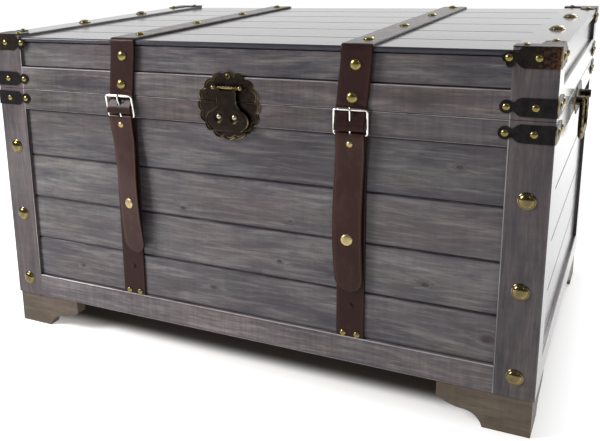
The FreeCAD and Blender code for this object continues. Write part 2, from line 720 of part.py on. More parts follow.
def lid_strap():
    """A strap from its tongue, up the lid's front, over the top and down the lid's back."""
    body = new_body("lid_strap")
    y = FACE_Y
    outer = f"({y} + strap_thickness)"
    tongue = f"({y} + {TONGUE_BACK})"
    bend, tip = "(parting_height - tongue_bend)", "(parting_height - tongue_end)"
    root = "(parting_height + buckle_top - wire_radius - moving_gap)"
    over = f"({TOP_FACE} + strap_thickness)"
    back_end = f"({LID_BOTTOM} + strap_back_end)"
    corners = [
        (f"-{tongue} - flap_thickness", tip),
        (f"-{tongue} - flap_thickness", bend),
        (f"-{outer}", root),
        (f"-{outer}", over),
        (outer, over),
        (outer, back_end),
        (y, back_end),
        (y, TOP_FACE),
        (f"-{y}", TOP_FACE),
        (f"-{y}", root),
        (f"-{tongue}", bend),
        (f"-{tongue}", tip),
    ]
    pad(body, outline(body, "YZ_Plane", corners), "strap_width", middle=True)
    round_edges(body, "strap_corner",
                lambda spot, way: near(spot.z, over) and abs(abs(spot.y) - value(outer)) < 0.01)
    hole = rectangle("-prong_radius - moving_gap", f"{bend} - tongue_slot_end",
                     "prong_radius + moving_gap", f"{bend} + tongue_slot")
    pocket(body, outline(body, "XZ_Plane", hole, f"{y} + 2 * {TONGUE_BACK}"),
           f"2 * {TONGUE_BACK}")
    return body


def at_strap(source, side):
    """A copy of a piece made on the chest's middle, at the left or the right strap."""
    copy = doc.addObject("Part::Compound", f"{source.Name}_{side}")
    copy.Links = [source]
    bind(copy, "Placement.Base.x", f"{'-1' if side == 'left' else '1'} * strap_place")
    return copy


def rod(name, radius, length, place, way):
    """A round bar from a place, along a way."""
    bar = doc.addObject("Part::Cylinder", name)
    bar.Placement.Rotation = FreeCAD.Rotation(FreeCAD.Vector(0, 0, 1), FreeCAD.Vector(*way))
    bind(bar, "Radius", radius)
    bind(bar, "Height", length)
    for letter, text in zip("xyz", place):
        bind(bar, f"Placement.Base.{letter}", text)
    return bar


def bend(corner, way_in, way_out, radius, chords):
    """Points along a bend of a bar's path, in chords, from where its straight run ends.

    The corner is where the two straight runs would meet, and the ways are unit steps along
    them: a point lies back from the corner along the way in and on along the way out.
    """
    points = []
    for i in range(chords + 1):
        turn = math.pi / 2 * i / chords
        back, on = round(1 - math.sin(turn), 5), round(1 - math.cos(turn), 5)
        points.append(tuple(f"({place} + {radius} * ({on} * ({b}) - {back} * ({a})))"
                            for place, a, b in zip(corner, way_in, way_out)))
    return points


def bar_along(body, role, offset, path, section, closed=False):
    """Sweep a round bar along a path of straight runs with mitred joints."""
    spine = outline(body, role, path, offset, closed)
    feature = body.newObject("PartDesign::AdditivePipe", body.Name + "_pipe")
    feature.Profile = section
    feature.Spine = (spine, [])
    feature.Transition = "Right corner"
    return feature


def buckle():
    """A wire frame whose upper bar crosses the tongue, and a prong on its lower bar."""
    half = "(strap_width / 2 + buckle_clear + wire_radius)"
    plane = f"({FACE_Y} + {BUCKLE_PLANE})"
    y = f"-{plane}"
    frame = new_body("buckle_frame")
    path = [("0", BUCKLE_BAR)]
    for corner, way_in, way_out in (((half, BUCKLE_BAR), (1, 0), (0, -1)),
                                    ((half, HEEL_BAR), (0, -1), (-1, 0)),
                                    ((f"-{half}", HEEL_BAR), (-1, 0), (0, 1)),
                                    ((f"-{half}", BUCKLE_BAR), (0, 1), (1, 0))):
        path += bend(corner, way_in, way_out, "buckle_corner", 1)
    section = disc(frame, "YZ_Plane", y, BUCKLE_BAR, "wire_radius")
    bar_along(frame, "XZ_Plane", plane, path, section, closed=True)

    # The prong's eye turns on the lower bar; its point rests on the upper one.
    eye = "(wire_radius + running_gap + prong_wall)"
    front = f"({plane} + wire_radius + prong_radius + running_gap)"
    body = new_body("prong")
    pad(body, disc(body, "YZ_Plane", y, HEEL_BAR, eye), "prong_eye_width", middle=True)
    blade = rectangle(f"-{front} - prong_radius", HEEL_BAR, f"-{front} + prong_radius",
                      f"{BUCKLE_BAR} + prong_tip")
    pad(body, outline(body, "YZ_Plane", blade), "2 * prong_radius", middle=True)
    pocket(body, disc(body, "YZ_Plane", y, HEEL_BAR, "wire_radius + running_gap"),
           "2 * prong_eye_width", middle=True)
    both = doc.addObject("Part::Compound", "buckle")
    both.Links = [frame, body]
    return both


def flap():
    """A hanging flap: its leather folds round the buckle's lower bar and hangs to a round tip."""
    body = new_body("strap_flap")
    bar_y = f"({FACE_Y} + {BUCKLE_PLANE})"
    hang = f"({FACE_Y} + flap_hang)"
    corners = [
        (f"-{bar_y} - {FOLD_RADIUS}", HEEL_BAR),
        (f"-{hang} - flap_thickness", f"{HEEL_BAR} - flap_fold_drop"),
        (f"-{hang} - flap_thickness", "flap_end"),
        (f"-{hang}", "flap_end"),
        (f"-{hang}", f"{HEEL_BAR} - 0.7 * flap_fold_drop"),
        (f"-{bar_y} + {FOLD_RADIUS}", HEEL_BAR),
    ]
    pad(body, outline(body, "YZ_Plane", corners), "flap_width", middle=True)
    pad(body, disc(body, "YZ_Plane", f"-{bar_y}", HEEL_BAR, FOLD_RADIUS), "flap_width", middle=True)
    pocket(body, disc(body, "YZ_Plane", f"-{bar_y}", HEEL_BAR, "wire_radius + running_gap"),
           "2 * flap_width", middle=True)
    half_slot = "(prong_eye_width / 2 + moving_gap)"
    slot = rectangle(f"-{half_slot}", f"{HEEL_BAR} - {FOLD_RADIUS} - moving_gap",
                     half_slot, f"{HEEL_BAR} + 2 * {FOLD_RADIUS}")
    pocket(body, outline(body, "XZ_Plane", slot, f"{bar_y} + 2 * {FOLD_RADIUS}"),
           f"4 * {FOLD_RADIUS}")
    round_edges(body, "flap_width / 2 - frame_arris / 4",
                lambda spot, way: near(spot.z, "flap_end") and abs(way.y) > 0.9)
    return body


def make_straps():
    strap, fitting, leather = lid_strap(), buckle(), flap()
    skin = value(f"{FACE_Y} + flap_hang + flap_thickness")
    fold = value(f"{FACE_Y} + {BUCKLE_PLANE} + {FOLD_RADIUS}")
    share = value(f"({HEEL_BAR} - rivet_height) / flap_fold_drop")
    slope = (fold - skin) / value("flap_fold_drop")
    for side, x in (("left", -value("strap_place")), ("right", value("strap_place"))):
        node(at_strap(strap, side), f"lid_strap_{side}")
        node(at_strap(fitting, side), f"buckle_{side}")
        node(at_strap(leather, side), f"strap_flap_{side}")
        caps = doc.addObject("Part::Feature", f"flap_studs_{side}")
        caps.Shape = Part.makeCompound([
            nail_head(value("snap_radius"), value("strap_nail_rise"),
                      (x, -skin, value("snap_height")), (0, -1, 0)),
            nail_head(value("rivet_radius"), value("small_nail_rise"),
                      (x, -fold + share * (fold - skin), value("rivet_height")), (0, -1, -slope)),
        ])
        node(caps, f"flap_studs_{side}")
    under = new_body("under_strap")
    low, high = "(foot_height + bottom_rail_height)", "(parting_height - top_rail_height)"
    strip = rectangle("-strap_width / 2", low, "strap_width / 2", high)
    pad(under, outline(under, "XZ_Plane", strip, f"{FACE_Y} - board_recess"),
        "under_strap_thickness")
    grouped("under_straps", [at_strap(under, "left"), at_strap(under, "right")])


# ---- Hasp -------------------------------------------------------------------------------

def hasp_plate(name, low, high):
    """The part of a round scalloped plate between two heights, made about its own centre."""
    body = new_body(name)
    bind(body, "Placement.Base.z", "hasp_height")
    pad(body, disc(body, "XZ_Plane", "0", "0", "hasp_disc", FACE_Y), "plate_thickness")
    scallop = disc(body, "XZ_Plane", "scallop_circle", "0", "scallop_radius", FACE_Y)
    lobe = pad(body, scallop, "plate_thickness")
    ring = body.newObject("PartDesign::PolarPattern", name + "_scallops")
    ring.Originals = [lobe]
    ring.Axis = (scallop, ["N_Axis"])
    ring.Angle = 360
    ring.Occurrences = SCALLOPS
    body.Tip = ring
    reach = "(2 * scallop_circle)"
    for v_low, v_high in ((f"-{reach}", f"{low} - hasp_height"), (f"{high} - hasp_height", reach)):
        if value(v_high) > value(f"-{reach}") + FLAT and value(v_low) < value("scallop_circle"):
            cut = rectangle(f"-{reach}", v_low, reach, v_high)
            pocket(body, outline(body, "XZ_Plane", cut, f"{FACE_Y} + 2 * plate_thickness"),
                   "4 * plate_thickness")
    return body


def hasp_pin():
    """A turned pin: a bar with a ball at each end, made about its own axis."""
    body = new_body("hasp_pin")
    bind(body, "Placement.Base.y", f"-{HASP_PIN_Y}")
    bind(body, "Placement.Base.z", "hasp_pin_height")
    ball = f"({HASP_PIN_LENGTH} / 2)"
    neck = f"({ball} - sqrt(hasp_ball_radius ^ 2 - hasp_pin_radius ^ 2))"
    corners = [(f"-{ball} - hasp_ball_radius", "0", "hasp_ball_radius", 1),
               (f"-{neck}", "hasp_pin_radius"),
               (neck, "hasp_pin_radius", "hasp_ball_radius", 1),
               (f"{ball} + hasp_ball_radius", "0")]
    turned = body.newObject("PartDesign::Revolution", "hasp_pin_turned")
    turned.Profile = outline(body, "XZ_Plane", corners)
    turned.ReferenceAxis = (origin_part(body, "X_Axis"), [""])
    turned.Angle = 360
    return body


def hasp_profile(neck_top):
    """The hanging plate: a straight foot, a full belly, hollow shoulders and a straight neck."""
    right = [("hasp_hollow_height", "hasp_neck_width"), ("hasp_shoulder_height", "hasp_shoulder_width"),
             ("hasp_belly_height", "hasp_belly_width")]
    curves = [("hasp_hollow_radius", -1), ("hasp_shoulder_radius", 1), ("hasp_belly_radius", 1)]
    down = [("hasp_neck_width / 2", neck_top)]
    down += [(f"{width} / 2", f"hasp_flap_bottom + {height}", *curve)
             for (height, width), curve in zip(right, curves)]
    down.append(("hasp_flap_foot / 2", "hasp_flap_bottom"))
    up = [(f"-{u}", v) for u, v in [corner[:2] for corner in reversed(down)]]
    for i, curve in enumerate(reversed(curves)):
        up[i] = (*up[i], *curve)
    return down + up


def make_hasp():
    above, below = "(hasp_height + 2 * scallop_circle)", "(hasp_height - 2 * scallop_circle)"
    upper = hasp_plate("hasp_upper_plate", f"({LID_BOTTOM} + moving_gap)", above)
    pin_z = "(hasp_pin_height - hasp_height)"
    ear = rectangle(f"-{HASP_PIN_Y}", f"{pin_z} - 0.7 * hasp_barrel_radius", f"-{FACE_Y}",
                    f"{pin_z} + 0.7 * hasp_barrel_radius")
    for inner in ("hasp_neck_width / 2 + moving_gap", "-hasp_neck_width / 2 - moving_gap - ear_width"):
        pad(upper, outline(upper, "YZ_Plane", ear, inner), "ear_width")
        pad(upper, disc(upper, "YZ_Plane", f"-{HASP_PIN_Y}", pin_z, "hasp_barrel_radius", inner),
            "ear_width")
    bore = "hasp_pin_radius + running_gap"
    pocket(upper, disc(upper, "YZ_Plane", f"-{HASP_PIN_Y}", pin_z, bore),
           "2 * hasp_neck_width", middle=True)
    node(upper, "hasp_upper_plate")
    node(hasp_plate("hasp_lower_plate", below, "(parting_height - moving_gap)"), "hasp_lower_plate")

    node(hasp_pin(), "hasp_pin")

    body = new_body("hasp_flap")
    thick = "hasp_flap_thickness"
    half = "(hasp_neck_width / 2)"
    neck_top = "(hasp_pin_height - hasp_barrel_radius)"
    pad(body, outline(body, "XZ_Plane", hasp_profile(neck_top), HASP_FLAP_BACK), thick)
    for low in (f"-{half}", f"{half} - curl_width"):
        arm = rectangle(low, f"{neck_top} - curl_width", f"{low} + curl_width", "hasp_pin_height")
        pad(body, outline(body, "XZ_Plane", arm, HASP_FLAP_BACK), thick)
        curl = disc(body, "YZ_Plane", f"-{HASP_PIN_Y}", "hasp_pin_height", "hasp_barrel_radius", low)
        pad(body, curl, "curl_width")
    pocket(body, disc(body, "YZ_Plane", f"-{HASP_PIN_Y}", "hasp_pin_height", bore),
           "2 * hasp_neck_width", middle=True)
    for sign in ("-1", "1"):
        well = disc(body, "XZ_Plane", f"{sign} * stud_place", "stud_height", "stud_well",
                    f"{HASP_FLAP_BACK} + {thick}")
        pocket(body, well, "stud_well_depth")
        hole = disc(body, "XZ_Plane", f"{sign} * stud_place", "stud_height",
                    "stud_shank + running_gap", f"{HASP_FLAP_BACK} + 2 * {thick}")
        pocket(body, hole, f"4 * {thick}")
    node(body, "hasp_flap")

    front = value(f"{HASP_FLAP_BACK} + {thick} - stud_well_depth")
    shank_back = value(f"{FACE_Y} + plate_thickness + moving_gap")
    studs = []
    for x in (-value("stud_place"), value("stud_place")):
        seat = FreeCAD.Vector(x, -front, value("stud_height"))
        head = nail_head(value("stud_radius"), value("small_nail_rise"), seat, (0, -1, 0))
        shank = Part.makeCylinder(value("stud_shank"), front - shank_back, seat,
                                  FreeCAD.Vector(0, 1, 0))
        studs.append(head.fuse(shank))
    group = doc.addObject("Part::Feature", "hasp_studs")
    group.Shape = Part.makeCompound(studs)
    node(group, "hasp_studs")


# ---- Side handles -----------------------------------------------------------------------

def handle_plate():
    """A plate with pointed ends on the right side, and two bosses bored for the handle."""
    body = new_body("handle_plate")
    half, quarter = "(handle_length / 2)", "(handle_length / 4)"
    rise, z = "(handle_plate_height / 2)", "handle_middle"
    corners = [(f"-{half}", z), (f"-{quarter}", f"{z} - {rise}"), (quarter, f"{z} - {rise}"),
               (half, z), (quarter, f"{z} + {rise}"), (f"-{quarter}", f"{z} + {rise}")]
    pad(body, outline(body, "YZ_Plane", corners, FACE_X), "plate_thickness")
    round_edges(body, "plate_round",
                lambda spot, way: abs(way.x) > 0.9 and near(abs(spot.y), quarter))
    for sign in ("-1", "1"):
        boss = disc(body, "YZ_Plane", f"{sign} * {POST_Y}", z, "post_radius", FACE_X)
        pad(body, boss, "pivot_rise + post_radius")
    bore = disc(body, "XZ_Plane", PIVOT_X, z, "bail_radius + running_gap")
    pocket(body, bore, "2 * bail_span", middle=True)
    return body


def bail():
    """A drop handle: a grip, two arms bent up from it, and stubs turned into the bosses."""
    body = new_body("bail")
    half = "(bail_span / 2)"
    top, low = "handle_middle", "(handle_middle - bail_drop)"
    stub_end = f"({half} - bail_eye_bend - 2 * bail_radius)"
    path = [(stub_end, top)]
    for corner, way_in, way_out, radius, chords in (
            ((half, top), (1, 0), (0, -1), "bail_eye_bend", 1),
            ((half, low), (0, -1), (-1, 0), "bail_bend", 2),
            ((f"-{half}", low), (-1, 0), (0, 1), "bail_bend", 2),
            ((f"-{half}", top), (0, 1), (1, 0), "bail_eye_bend", 1)):
        path += bend(corner, way_in, way_out, radius, chords)
    path.append((f"-{stub_end}", top))
    section = disc(body, "XZ_Plane", PIVOT_X, top, "bail_radius", f"-{stub_end}")
    bar_along(body, "YZ_Plane", PIVOT_X, path, section)
    return body


# ---- Hinges -----------------------------------------------------------------------------

def hinge_leaf(name, knuckles, lid_side):
    """A leaf on the back, with its knuckles round the pin: the spans run from one end."""
    body = new_body(name)
    low, third = "(hinge_place - hinge_width / 2)", "(hinge_width / 3)"
    sign = "1" if lid_side else "-1"
    near_edge = f"({HINGE_Z} + {sign} * (barrel_radius + moving_gap))"
    far_edge = f"({HINGE_Z} + {sign} * hinge_leaf)"
    edges = (near_edge, far_edge) if lid_side else (far_edge, near_edge)
    plate = rectangle(low, edges[0], f"{low} + hinge_width", edges[1])
    pad(body, outline(body, "XZ_Plane", plate, f"-{FACE_Y}"), "leaf_thickness", back=True)
    for index in knuckles:
        start = f"({low} + {index} * {third} + moving_gap / 2)"
        length = f"({third} - moving_gap)"
        tab_edges = (HINGE_Z, far_edge) if lid_side else (far_edge, HINGE_Z)
        tab = rectangle(start, tab_edges[0], f"{start} + {length}", tab_edges[1])
        pad(body, outline(body, "XZ_Plane", tab, f"-{FACE_Y}"), "leaf_thickness", back=True)
        pad(body, disc(body, "YZ_Plane", HINGE_Y, HINGE_Z, "barrel_radius", start), length)
    hole = disc(body, "YZ_Plane", HINGE_Y, HINGE_Z, "hinge_pin_radius + running_gap",
                f"{low} - hinge_width")
    pocket(body, hole, "3 * hinge_width", back=True)
    return body


def make_hinges():
    base = hinge_leaf("hinge_base_leaf", (0, 2), False)
    grouped("hinge_base_leaves", [base, across(base)])
    lid = hinge_leaf("hinge_lid_leaf", (1,), True)
    grouped("hinge_lid_leaves", [lid, across(lid)])
    pin = rod("hinge_pin", "hinge_pin_radius", "hinge_width",
              ("hinge_place - hinge_width / 2", HINGE_Y, HINGE_Z), (1, 0, 0))
    grouped("hinge_pins", [pin, across(pin)])


def finish():
    doc.recompute()
    broken = [thing.Name for thing in doc.Objects
              if "Invalid" in thing.State or "Error" in thing.State]
    if broken:
        raise ValueError(f"failed objects: {broken}")
    for thing in nodes:
        shape = thing.Shape
        if shape.isNull() or not shape.isValid() or not shape.Solids:
            raise ValueError(f"{thing.Label}: no valid solid")
    os.makedirs("parts", exist_ok=True)
    for thing in nodes:
        thing.Shape.exportStep(f"parts/{thing.Label}.step")
        print(thing.Label, len(thing.Shape.Solids), round(thing.Shape.Volume))
    print(len(nodes), "nodes")


make_base_walls()
make_feet()
make_lid()
make_corner_metal()
make_nails()
make_straps()
make_hasp()
make_hinges()
plate = handle_plate()
node(plate, "handle_plate_right")
node(across(plate), "handle_plate_left")
handle = bail()
node(handle, "handle_bail_right")
node(across(handle), "handle_bail_left")
finish()
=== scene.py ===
"""Sea chest: wood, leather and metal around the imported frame.

+X runs along the chest's width, the front faces -Y and +Z is up, with the origin on the floor
under the middle. Shapes are worked out in millimetres and become metres in piece(); the
materials work in metres.
"""
import json
import math

import bpy
import numpy as np
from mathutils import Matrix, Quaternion, Vector

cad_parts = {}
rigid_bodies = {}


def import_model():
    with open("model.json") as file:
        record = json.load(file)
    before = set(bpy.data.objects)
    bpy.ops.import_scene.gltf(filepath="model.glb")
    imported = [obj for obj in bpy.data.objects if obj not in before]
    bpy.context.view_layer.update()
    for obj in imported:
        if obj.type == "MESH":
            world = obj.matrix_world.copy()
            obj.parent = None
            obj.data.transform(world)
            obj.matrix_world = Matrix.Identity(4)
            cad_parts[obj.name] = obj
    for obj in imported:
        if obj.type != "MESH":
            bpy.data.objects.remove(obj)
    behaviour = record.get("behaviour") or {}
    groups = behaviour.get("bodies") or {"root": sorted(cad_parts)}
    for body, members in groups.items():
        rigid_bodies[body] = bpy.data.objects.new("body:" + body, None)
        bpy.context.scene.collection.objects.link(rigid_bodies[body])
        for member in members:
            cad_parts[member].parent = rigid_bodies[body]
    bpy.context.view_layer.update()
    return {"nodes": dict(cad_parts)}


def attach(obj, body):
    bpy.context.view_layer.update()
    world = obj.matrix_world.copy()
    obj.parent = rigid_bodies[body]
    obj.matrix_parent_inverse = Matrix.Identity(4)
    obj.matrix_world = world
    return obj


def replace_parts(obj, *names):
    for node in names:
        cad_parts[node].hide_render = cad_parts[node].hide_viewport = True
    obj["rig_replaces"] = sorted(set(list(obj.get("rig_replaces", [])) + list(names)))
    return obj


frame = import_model()
nodes = frame["nodes"]

MM = 0.001                                   # a millimetre in metres
SIDES = (("left", -1), ("right", 1))

# Places and sizes on the chest, in millimetres.
FACE_X, FACE_Y = 350, 250                    # outer faces of the posts
TOP_FACE, CHEST_TOP = 412, 415               # top boards, and the end strips over them
PARTING = 343.9                              # middle of the gap between base and lid
PLATE = 1.2                                  # thickness of the corner metal
POST_NAIL_INSET = 21.5                       # large nails, from the outer face
STRAP_X = 148
LID_STRAP_WIDTH, FLAP_WIDTH, LID_STRAP_THICK = 34.6, 33, 3
UNDER_STRAP_FACE = -248.6
SLOT_HALF_WIDTH = 1.6                        # slots in the leather for a buckle's prong
CAP_HEIGHT = {"left": 206, "right": 198}     # a flap's snap cap
FLAP_TIP = {"left": 139, "right": 135}
HEEL_BAR = np.array([0.0, -254.5, 317.5])    # a buckle's lower bar
UPPER_BAR_Z = 345.0
BUCKLE_LEAN = {"left": 11, "right": 2}       # degrees
HASP_PIN = np.array([0.0, -254.9, 361.0])
HASP_CENTRE = 339
STUD_X, STUD_Z = (-10, 10), 327
HASP_FLAP_LOW, HASP_FLAP_FACE, HASP_FLAP_BACK = 309.4, -256.6, -255.2
RUBBED = 34                                  # how far the lid caps' corners are rubbed


# ---- Colours and shader graphs ----

def srgb(red, green, blue):
    """A colour given in 0 to 255 as linear values with full alpha."""
    share = np.array([red, green, blue]) / 255
    linear = np.where(share <= 0.04045, share / 12.92, ((share + 0.055) / 1.055) ** 2.4)
    return (*linear.tolist(), 1.0)


class Flow:
    """A value in a node tree; arithmetic on it adds the nodes that work it out."""

    def __init__(self, graph, socket):
        self.graph, self.socket = graph, socket

    def __add__(self, other):
        return self.graph.maths("ADD", self, other)

    def __radd__(self, other):
        return self.graph.maths("ADD", other, self)

    def __sub__(self, other):
        return self.graph.maths("SUBTRACT", self, other)

    def __rsub__(self, other):
        return self.graph.maths("SUBTRACT", other, self)

    def __mul__(self, other):
        return self.graph.maths("MULTIPLY", self, other)

    def __abs__(self):
        return self.graph.maths("ABSOLUTE", self)

    def most(self, other, clamp=False):
        return self.graph.maths("MAXIMUM", self, other, clamp=clamp)

    def span(self, low, high, to_low=0.0, to_high=1.0, smooth=False):
        """The run from low to high mapped onto to_low to to_high and held beyond both ends."""
        return self.graph.value("ShaderNodeMapRange", 0, self, low, high, to_low, to_high,
                                interpolation_type="SMOOTHSTEP" if smooth else "LINEAR")


class Graph:
    """A node tree with short calls for the nodes that the finishes use."""

    def __init__(self, tree):
        self.tree = tree

    def feed(self, socket, source):
        """Link a socket to the source, or write the source's plain value on it."""
        if isinstance(source, Flow):
            self.tree.links.new(source.socket, socket)
        elif source is not None:
            socket.default_value = source

    def fill(self, made, **sources):
        """Feed the named inputs of a node; an underscore stands for a space."""
        for name, source in sources.items():
            self.feed(made.inputs[name.replace("_", " ")], source)

    def add(self, kind, *sources, **settings):
        """A new node with its settings, whose inputs take the sources in order."""
        made = self.tree.nodes.new(kind)
        for name, setting in settings.items():
            setattr(made, name, setting)
        for socket, source in zip(made.inputs, sources):
            self.feed(socket, source)
        return made

    def value(self, kind, output, *sources, **settings):
        """One output of a new node."""
        return Flow(self, self.add(kind, *sources, **settings).outputs[output])

    def maths(self, operation, *sources, clamp=False):
        return self.value("ShaderNodeMath", 0, *sources, operation=operation, use_clamp=clamp)

    def vector(self, operation, first, second=None, scale=None):
        return self.value("ShaderNodeVectorMath", "Value" if operation == "LENGTH" else 0,
                          first, second, None, scale, operation=operation)

    def mix(self, share, first, second, blend="MIX"):
        """Two colours mixed; they are the node's seventh and eighth input."""
        return self.value("ShaderNodeMix", 2, share, *[None] * 5, first, second,
                          data_type="RGBA", blend_type=blend)

    def mix_vector(self, share, first, second):
        """Two vectors mixed; they are the node's fifth and sixth input."""
        return self.value("ShaderNodeMix", 1, share, *[None] * 3, first, second,
                          data_type="VECTOR")

    def shaded(self, colour, factor):
        """A colour with its three parts multiplied by a factor."""
        grey = (factor, factor, factor)
        grey = self.join(*grey) if isinstance(factor, Flow) else (*grey, 1)
        return self.mix(1.0, colour, grey, "MULTIPLY")

    def split(self, source):
        parts = self.add("ShaderNodeSeparateXYZ", source).outputs
        return [Flow(self, part) for part in parts]

    def join(self, x, y, z):
        return self.value("ShaderNodeCombineXYZ", 0, x, y, z)

    def attribute(self, name):
        return self.value("ShaderNodeAttribute", "Fac", attribute_name=name)

    def noise(self, place, stretch, detail=2.0, rough=0.5, output="Fac"):
        """Noise at a place whose axes are first multiplied by the stretch, in cells per metre."""
        spot = self.vector("MULTIPLY", place, stretch)
        made = self.add("ShaderNodeTexNoise")
        self.fill(made, Vector=spot, Scale=1.0, Detail=detail, Roughness=rough)
        return Flow(self, made.outputs[output])

    def group(self, tree, **sources):
        made = self.add("ShaderNodeGroup", node_tree=tree)
        self.fill(made, **sources)
        return {output.name: Flow(self, output) for output in made.outputs}


def new_group(name, inputs, outputs):
    """An empty node group: (graph, what comes in by name, output node).

    An input with a default is a number and one without is a vector; outputs are numbers.
    """
    tree = bpy.data.node_groups.new(name, "ShaderNodeTree")
    for label, default in inputs.items():
        kind = "NodeSocketVector" if default is None else "NodeSocketFloat"
        socket = tree.interface.new_socket(label, in_out="INPUT", socket_type=kind)
        if default is not None:
            socket.default_value = default
    for label in outputs:
        tree.interface.new_socket(label, in_out="OUTPUT", socket_type="NodeSocketFloat")
    graph = Graph(tree)
    incoming = {socket.name: Flow(graph, socket) for socket in graph.add("NodeGroupInput").outputs}
    return graph, incoming, graph.add("NodeGroupOutput")


def new_material(name, **settings):
    """A material with its Principled shader, given that shader's inputs by name."""
    material = bpy.data.materials.new(name)
    material.use_nodes = True
    graph = Graph(material.node_tree)
    shader = material.node_tree.nodes["Principled BSDF"]
    graph.fill(shader, **settings)
    return material, graph, shader


def object_place(graph):
    """The place and the normal on the object's own axes."""
    found = graph.add("ShaderNodeTexCoord").outputs
    return Flow(graph, found["Object"]), Flow(graph, found["Normal"])


def bump(graph, shader, height, depth, strength):
    """Feed a height to the shader's normal; depth is in metres for a height of 1."""
    made = graph.add("ShaderNodeBump")
    graph.fill(made, Strength=strength, Distance=depth, Height=height)
    graph.fill(shader, Normal=Flow(graph, made.outputs[0]))


# ---- Shared effects ----

def make_arris_mask():
    """0 on faces square to an axis, 1 on bevels between two of them."""
    graph, ins, out = new_group("arris mask", {"Normal": None}, ["Mask"])
    x, y, z = graph.split(graph.vector("ABSOLUTE", ins["Normal"]))
    graph.fill(out, Mask=x.most(y).most(z).span(0.97, 0.78))
    return graph.tree


def make_pine():
    """Grey-washed pine. The grain runs along X of the place that comes in.

    Fibres, streaks, smudges and clouds are noise stretched along the grain, from narrow to
    wide; growth bands are a sine of slow noise; the hue drifts with unbent noise; saw marks are
    noise stretched across the grain; a knot is a dark core with rings round it, and the grain
    bends past it.
    """
    graph, ins, out = new_group(
        "washed pine", {"Place": None, "Shift": 0.0, "Knot distance": 9.0},
        ("Streak", "Fibre", "Cloud", "Band", "Knot", "Smudge", "Hue", "Saw"))
    jump = graph.join(*(ins["Shift"] * step for step in (7.3, 3.7, 5.1)))
    place = graph.vector("ADD", ins["Place"], jump)
    near_knot = graph.maths("EXPONENT", ins["Knot distance"] * -1.6)
    warp = graph.noise(place, (5, 26, 26), output="Color")
    warp = graph.vector("SUBTRACT", warp, (0.5, 0.5, 0.5))
    bend = graph.vector("MULTIPLY", warp, (0.02, 0.016, 0.016))
    bend = graph.vector("ADD", bend, graph.join(0.0, near_knot * 0.012, 0.0))
    grain = graph.vector("ADD", place, bend)
    for name, spot, stretch, detail, rough in (
            ("Fibre", grain, (45, 800, 800), 3.0, 0.7),
            ("Streak", grain, (12, 230, 230), 6.0, 0.7),
            ("Cloud", grain, (7, 38, 38), 4.0, 0.6),
            ("Smudge", grain, (34, 150, 150), 5.0, 0.65),
            ("Hue", place, (5, 14, 14), 3.0, 0.55),
            ("Saw", place, (210, 14, 14), 2.0, 0.6)):
        graph.fill(out, **{name: graph.noise(spot, stretch, detail, rough)})
    wave = graph.maths("SINE", graph.noise(grain, (1.9, 17, 17), 1.0) * 95.0)
    ring = graph.maths("SINE", ins["Knot distance"] * 14.0)
    core = ins["Knot distance"].span(0.75, 0.25, smooth=True)
    halo = ring.span(-0.2, 1.0, 0.0, 0.6) * near_knot
    graph.fill(out, Band=wave.span(-1.0, 1.0), Knot=core.most(halo, clamp=True))
    return graph.tree


def make_tarnish():
    """Uneven darkening of metal: cloudy patches with fine specks."""
    graph, ins, out = new_group("tarnish", {"Place": None, "Size": 120.0}, ("Patch", "Speck"))
    place = graph.vector("SCALE", ins["Place"], scale=ins["Size"])
    graph.fill(out, Patch=graph.noise(place, (1, 1, 1), 4.0, 0.6),
               Speck=graph.noise(place, (7, 7, 7), 3.0, 0.7).span(0.45, 0.75))
    return graph.tree


arris_mask = make_arris_mask()
pine = make_pine()
tarnish = make_tarnish()


# ---- Woods ----

WALL_JOINTS = (45, 77, 133.5, 193, 252.5, 316, 344, 373, 406)     # heights, in mm
TOP_JOINTS = (-175.5, -87.75, 0, 87.75, 175.5)                    # depths, in mm
JOINT_SHADE_BELOW = 330                                                 # the lid's joints get no painted shade
FRONT_KNOTS = ((298, 104, 9), (-70, 205, 5), (231, 155, 5), (74, 206, 3),
               (-232, 102, 4), (60, 155, 4), (-30, 105, 5), (262, 290, 4))   # x, z, radius in mm
# Dark, middle, pale and brown of a stain.
BOARD_STAIN = (srgb(58, 57, 64), srgb(98, 95, 96), srgb(142, 138, 133), srgb(86, 75, 76))
RAIL_STAIN = (srgb(61, 57, 62), srgb(98, 92, 94), srgb(142, 135, 132), srgb(92, 80, 78))
POST_STAIN = (srgb(58, 55, 60), srgb(90, 83, 84), srgb(126, 120, 118), srgb(86, 73, 73))
FOOT_STAIN = (srgb(90, 80, 74), srgb(118, 108, 98), srgb(148, 138, 128), srgb(88, 74, 64))


def boards_across(graph, source, joints):
    """Number of the board at a place, and the painted shade near the joints below the lid."""
    number, nearest = 0.0, 1.0
    for joint in joints:
        number = number + graph.maths("GREATER_THAN", source, joint * MM)
        if joint < JOINT_SHADE_BELOW:
            nearest = graph.maths("MINIMUM", nearest, abs(source - joint * MM))
    return number, nearest.span(0.0, 5 * MM, 0.5, 0.0, smooth=True)


def knot_distance(graph, x, z):
    """Distance to the nearest knot of the front wall, in knot radii; knots lie along the grain."""
    nearest = None
    for knot_x, knot_z, radius in FRONT_KNOTS:
        off = graph.join((x - knot_x * MM) * 0.6, 0.0, z - knot_z * MM)
        away = graph.maths("DIVIDE", graph.vector("LENGTH", off), radius * MM)
        nearest = away if nearest is None else graph.maths("MINIMUM", nearest, away)
    return nearest


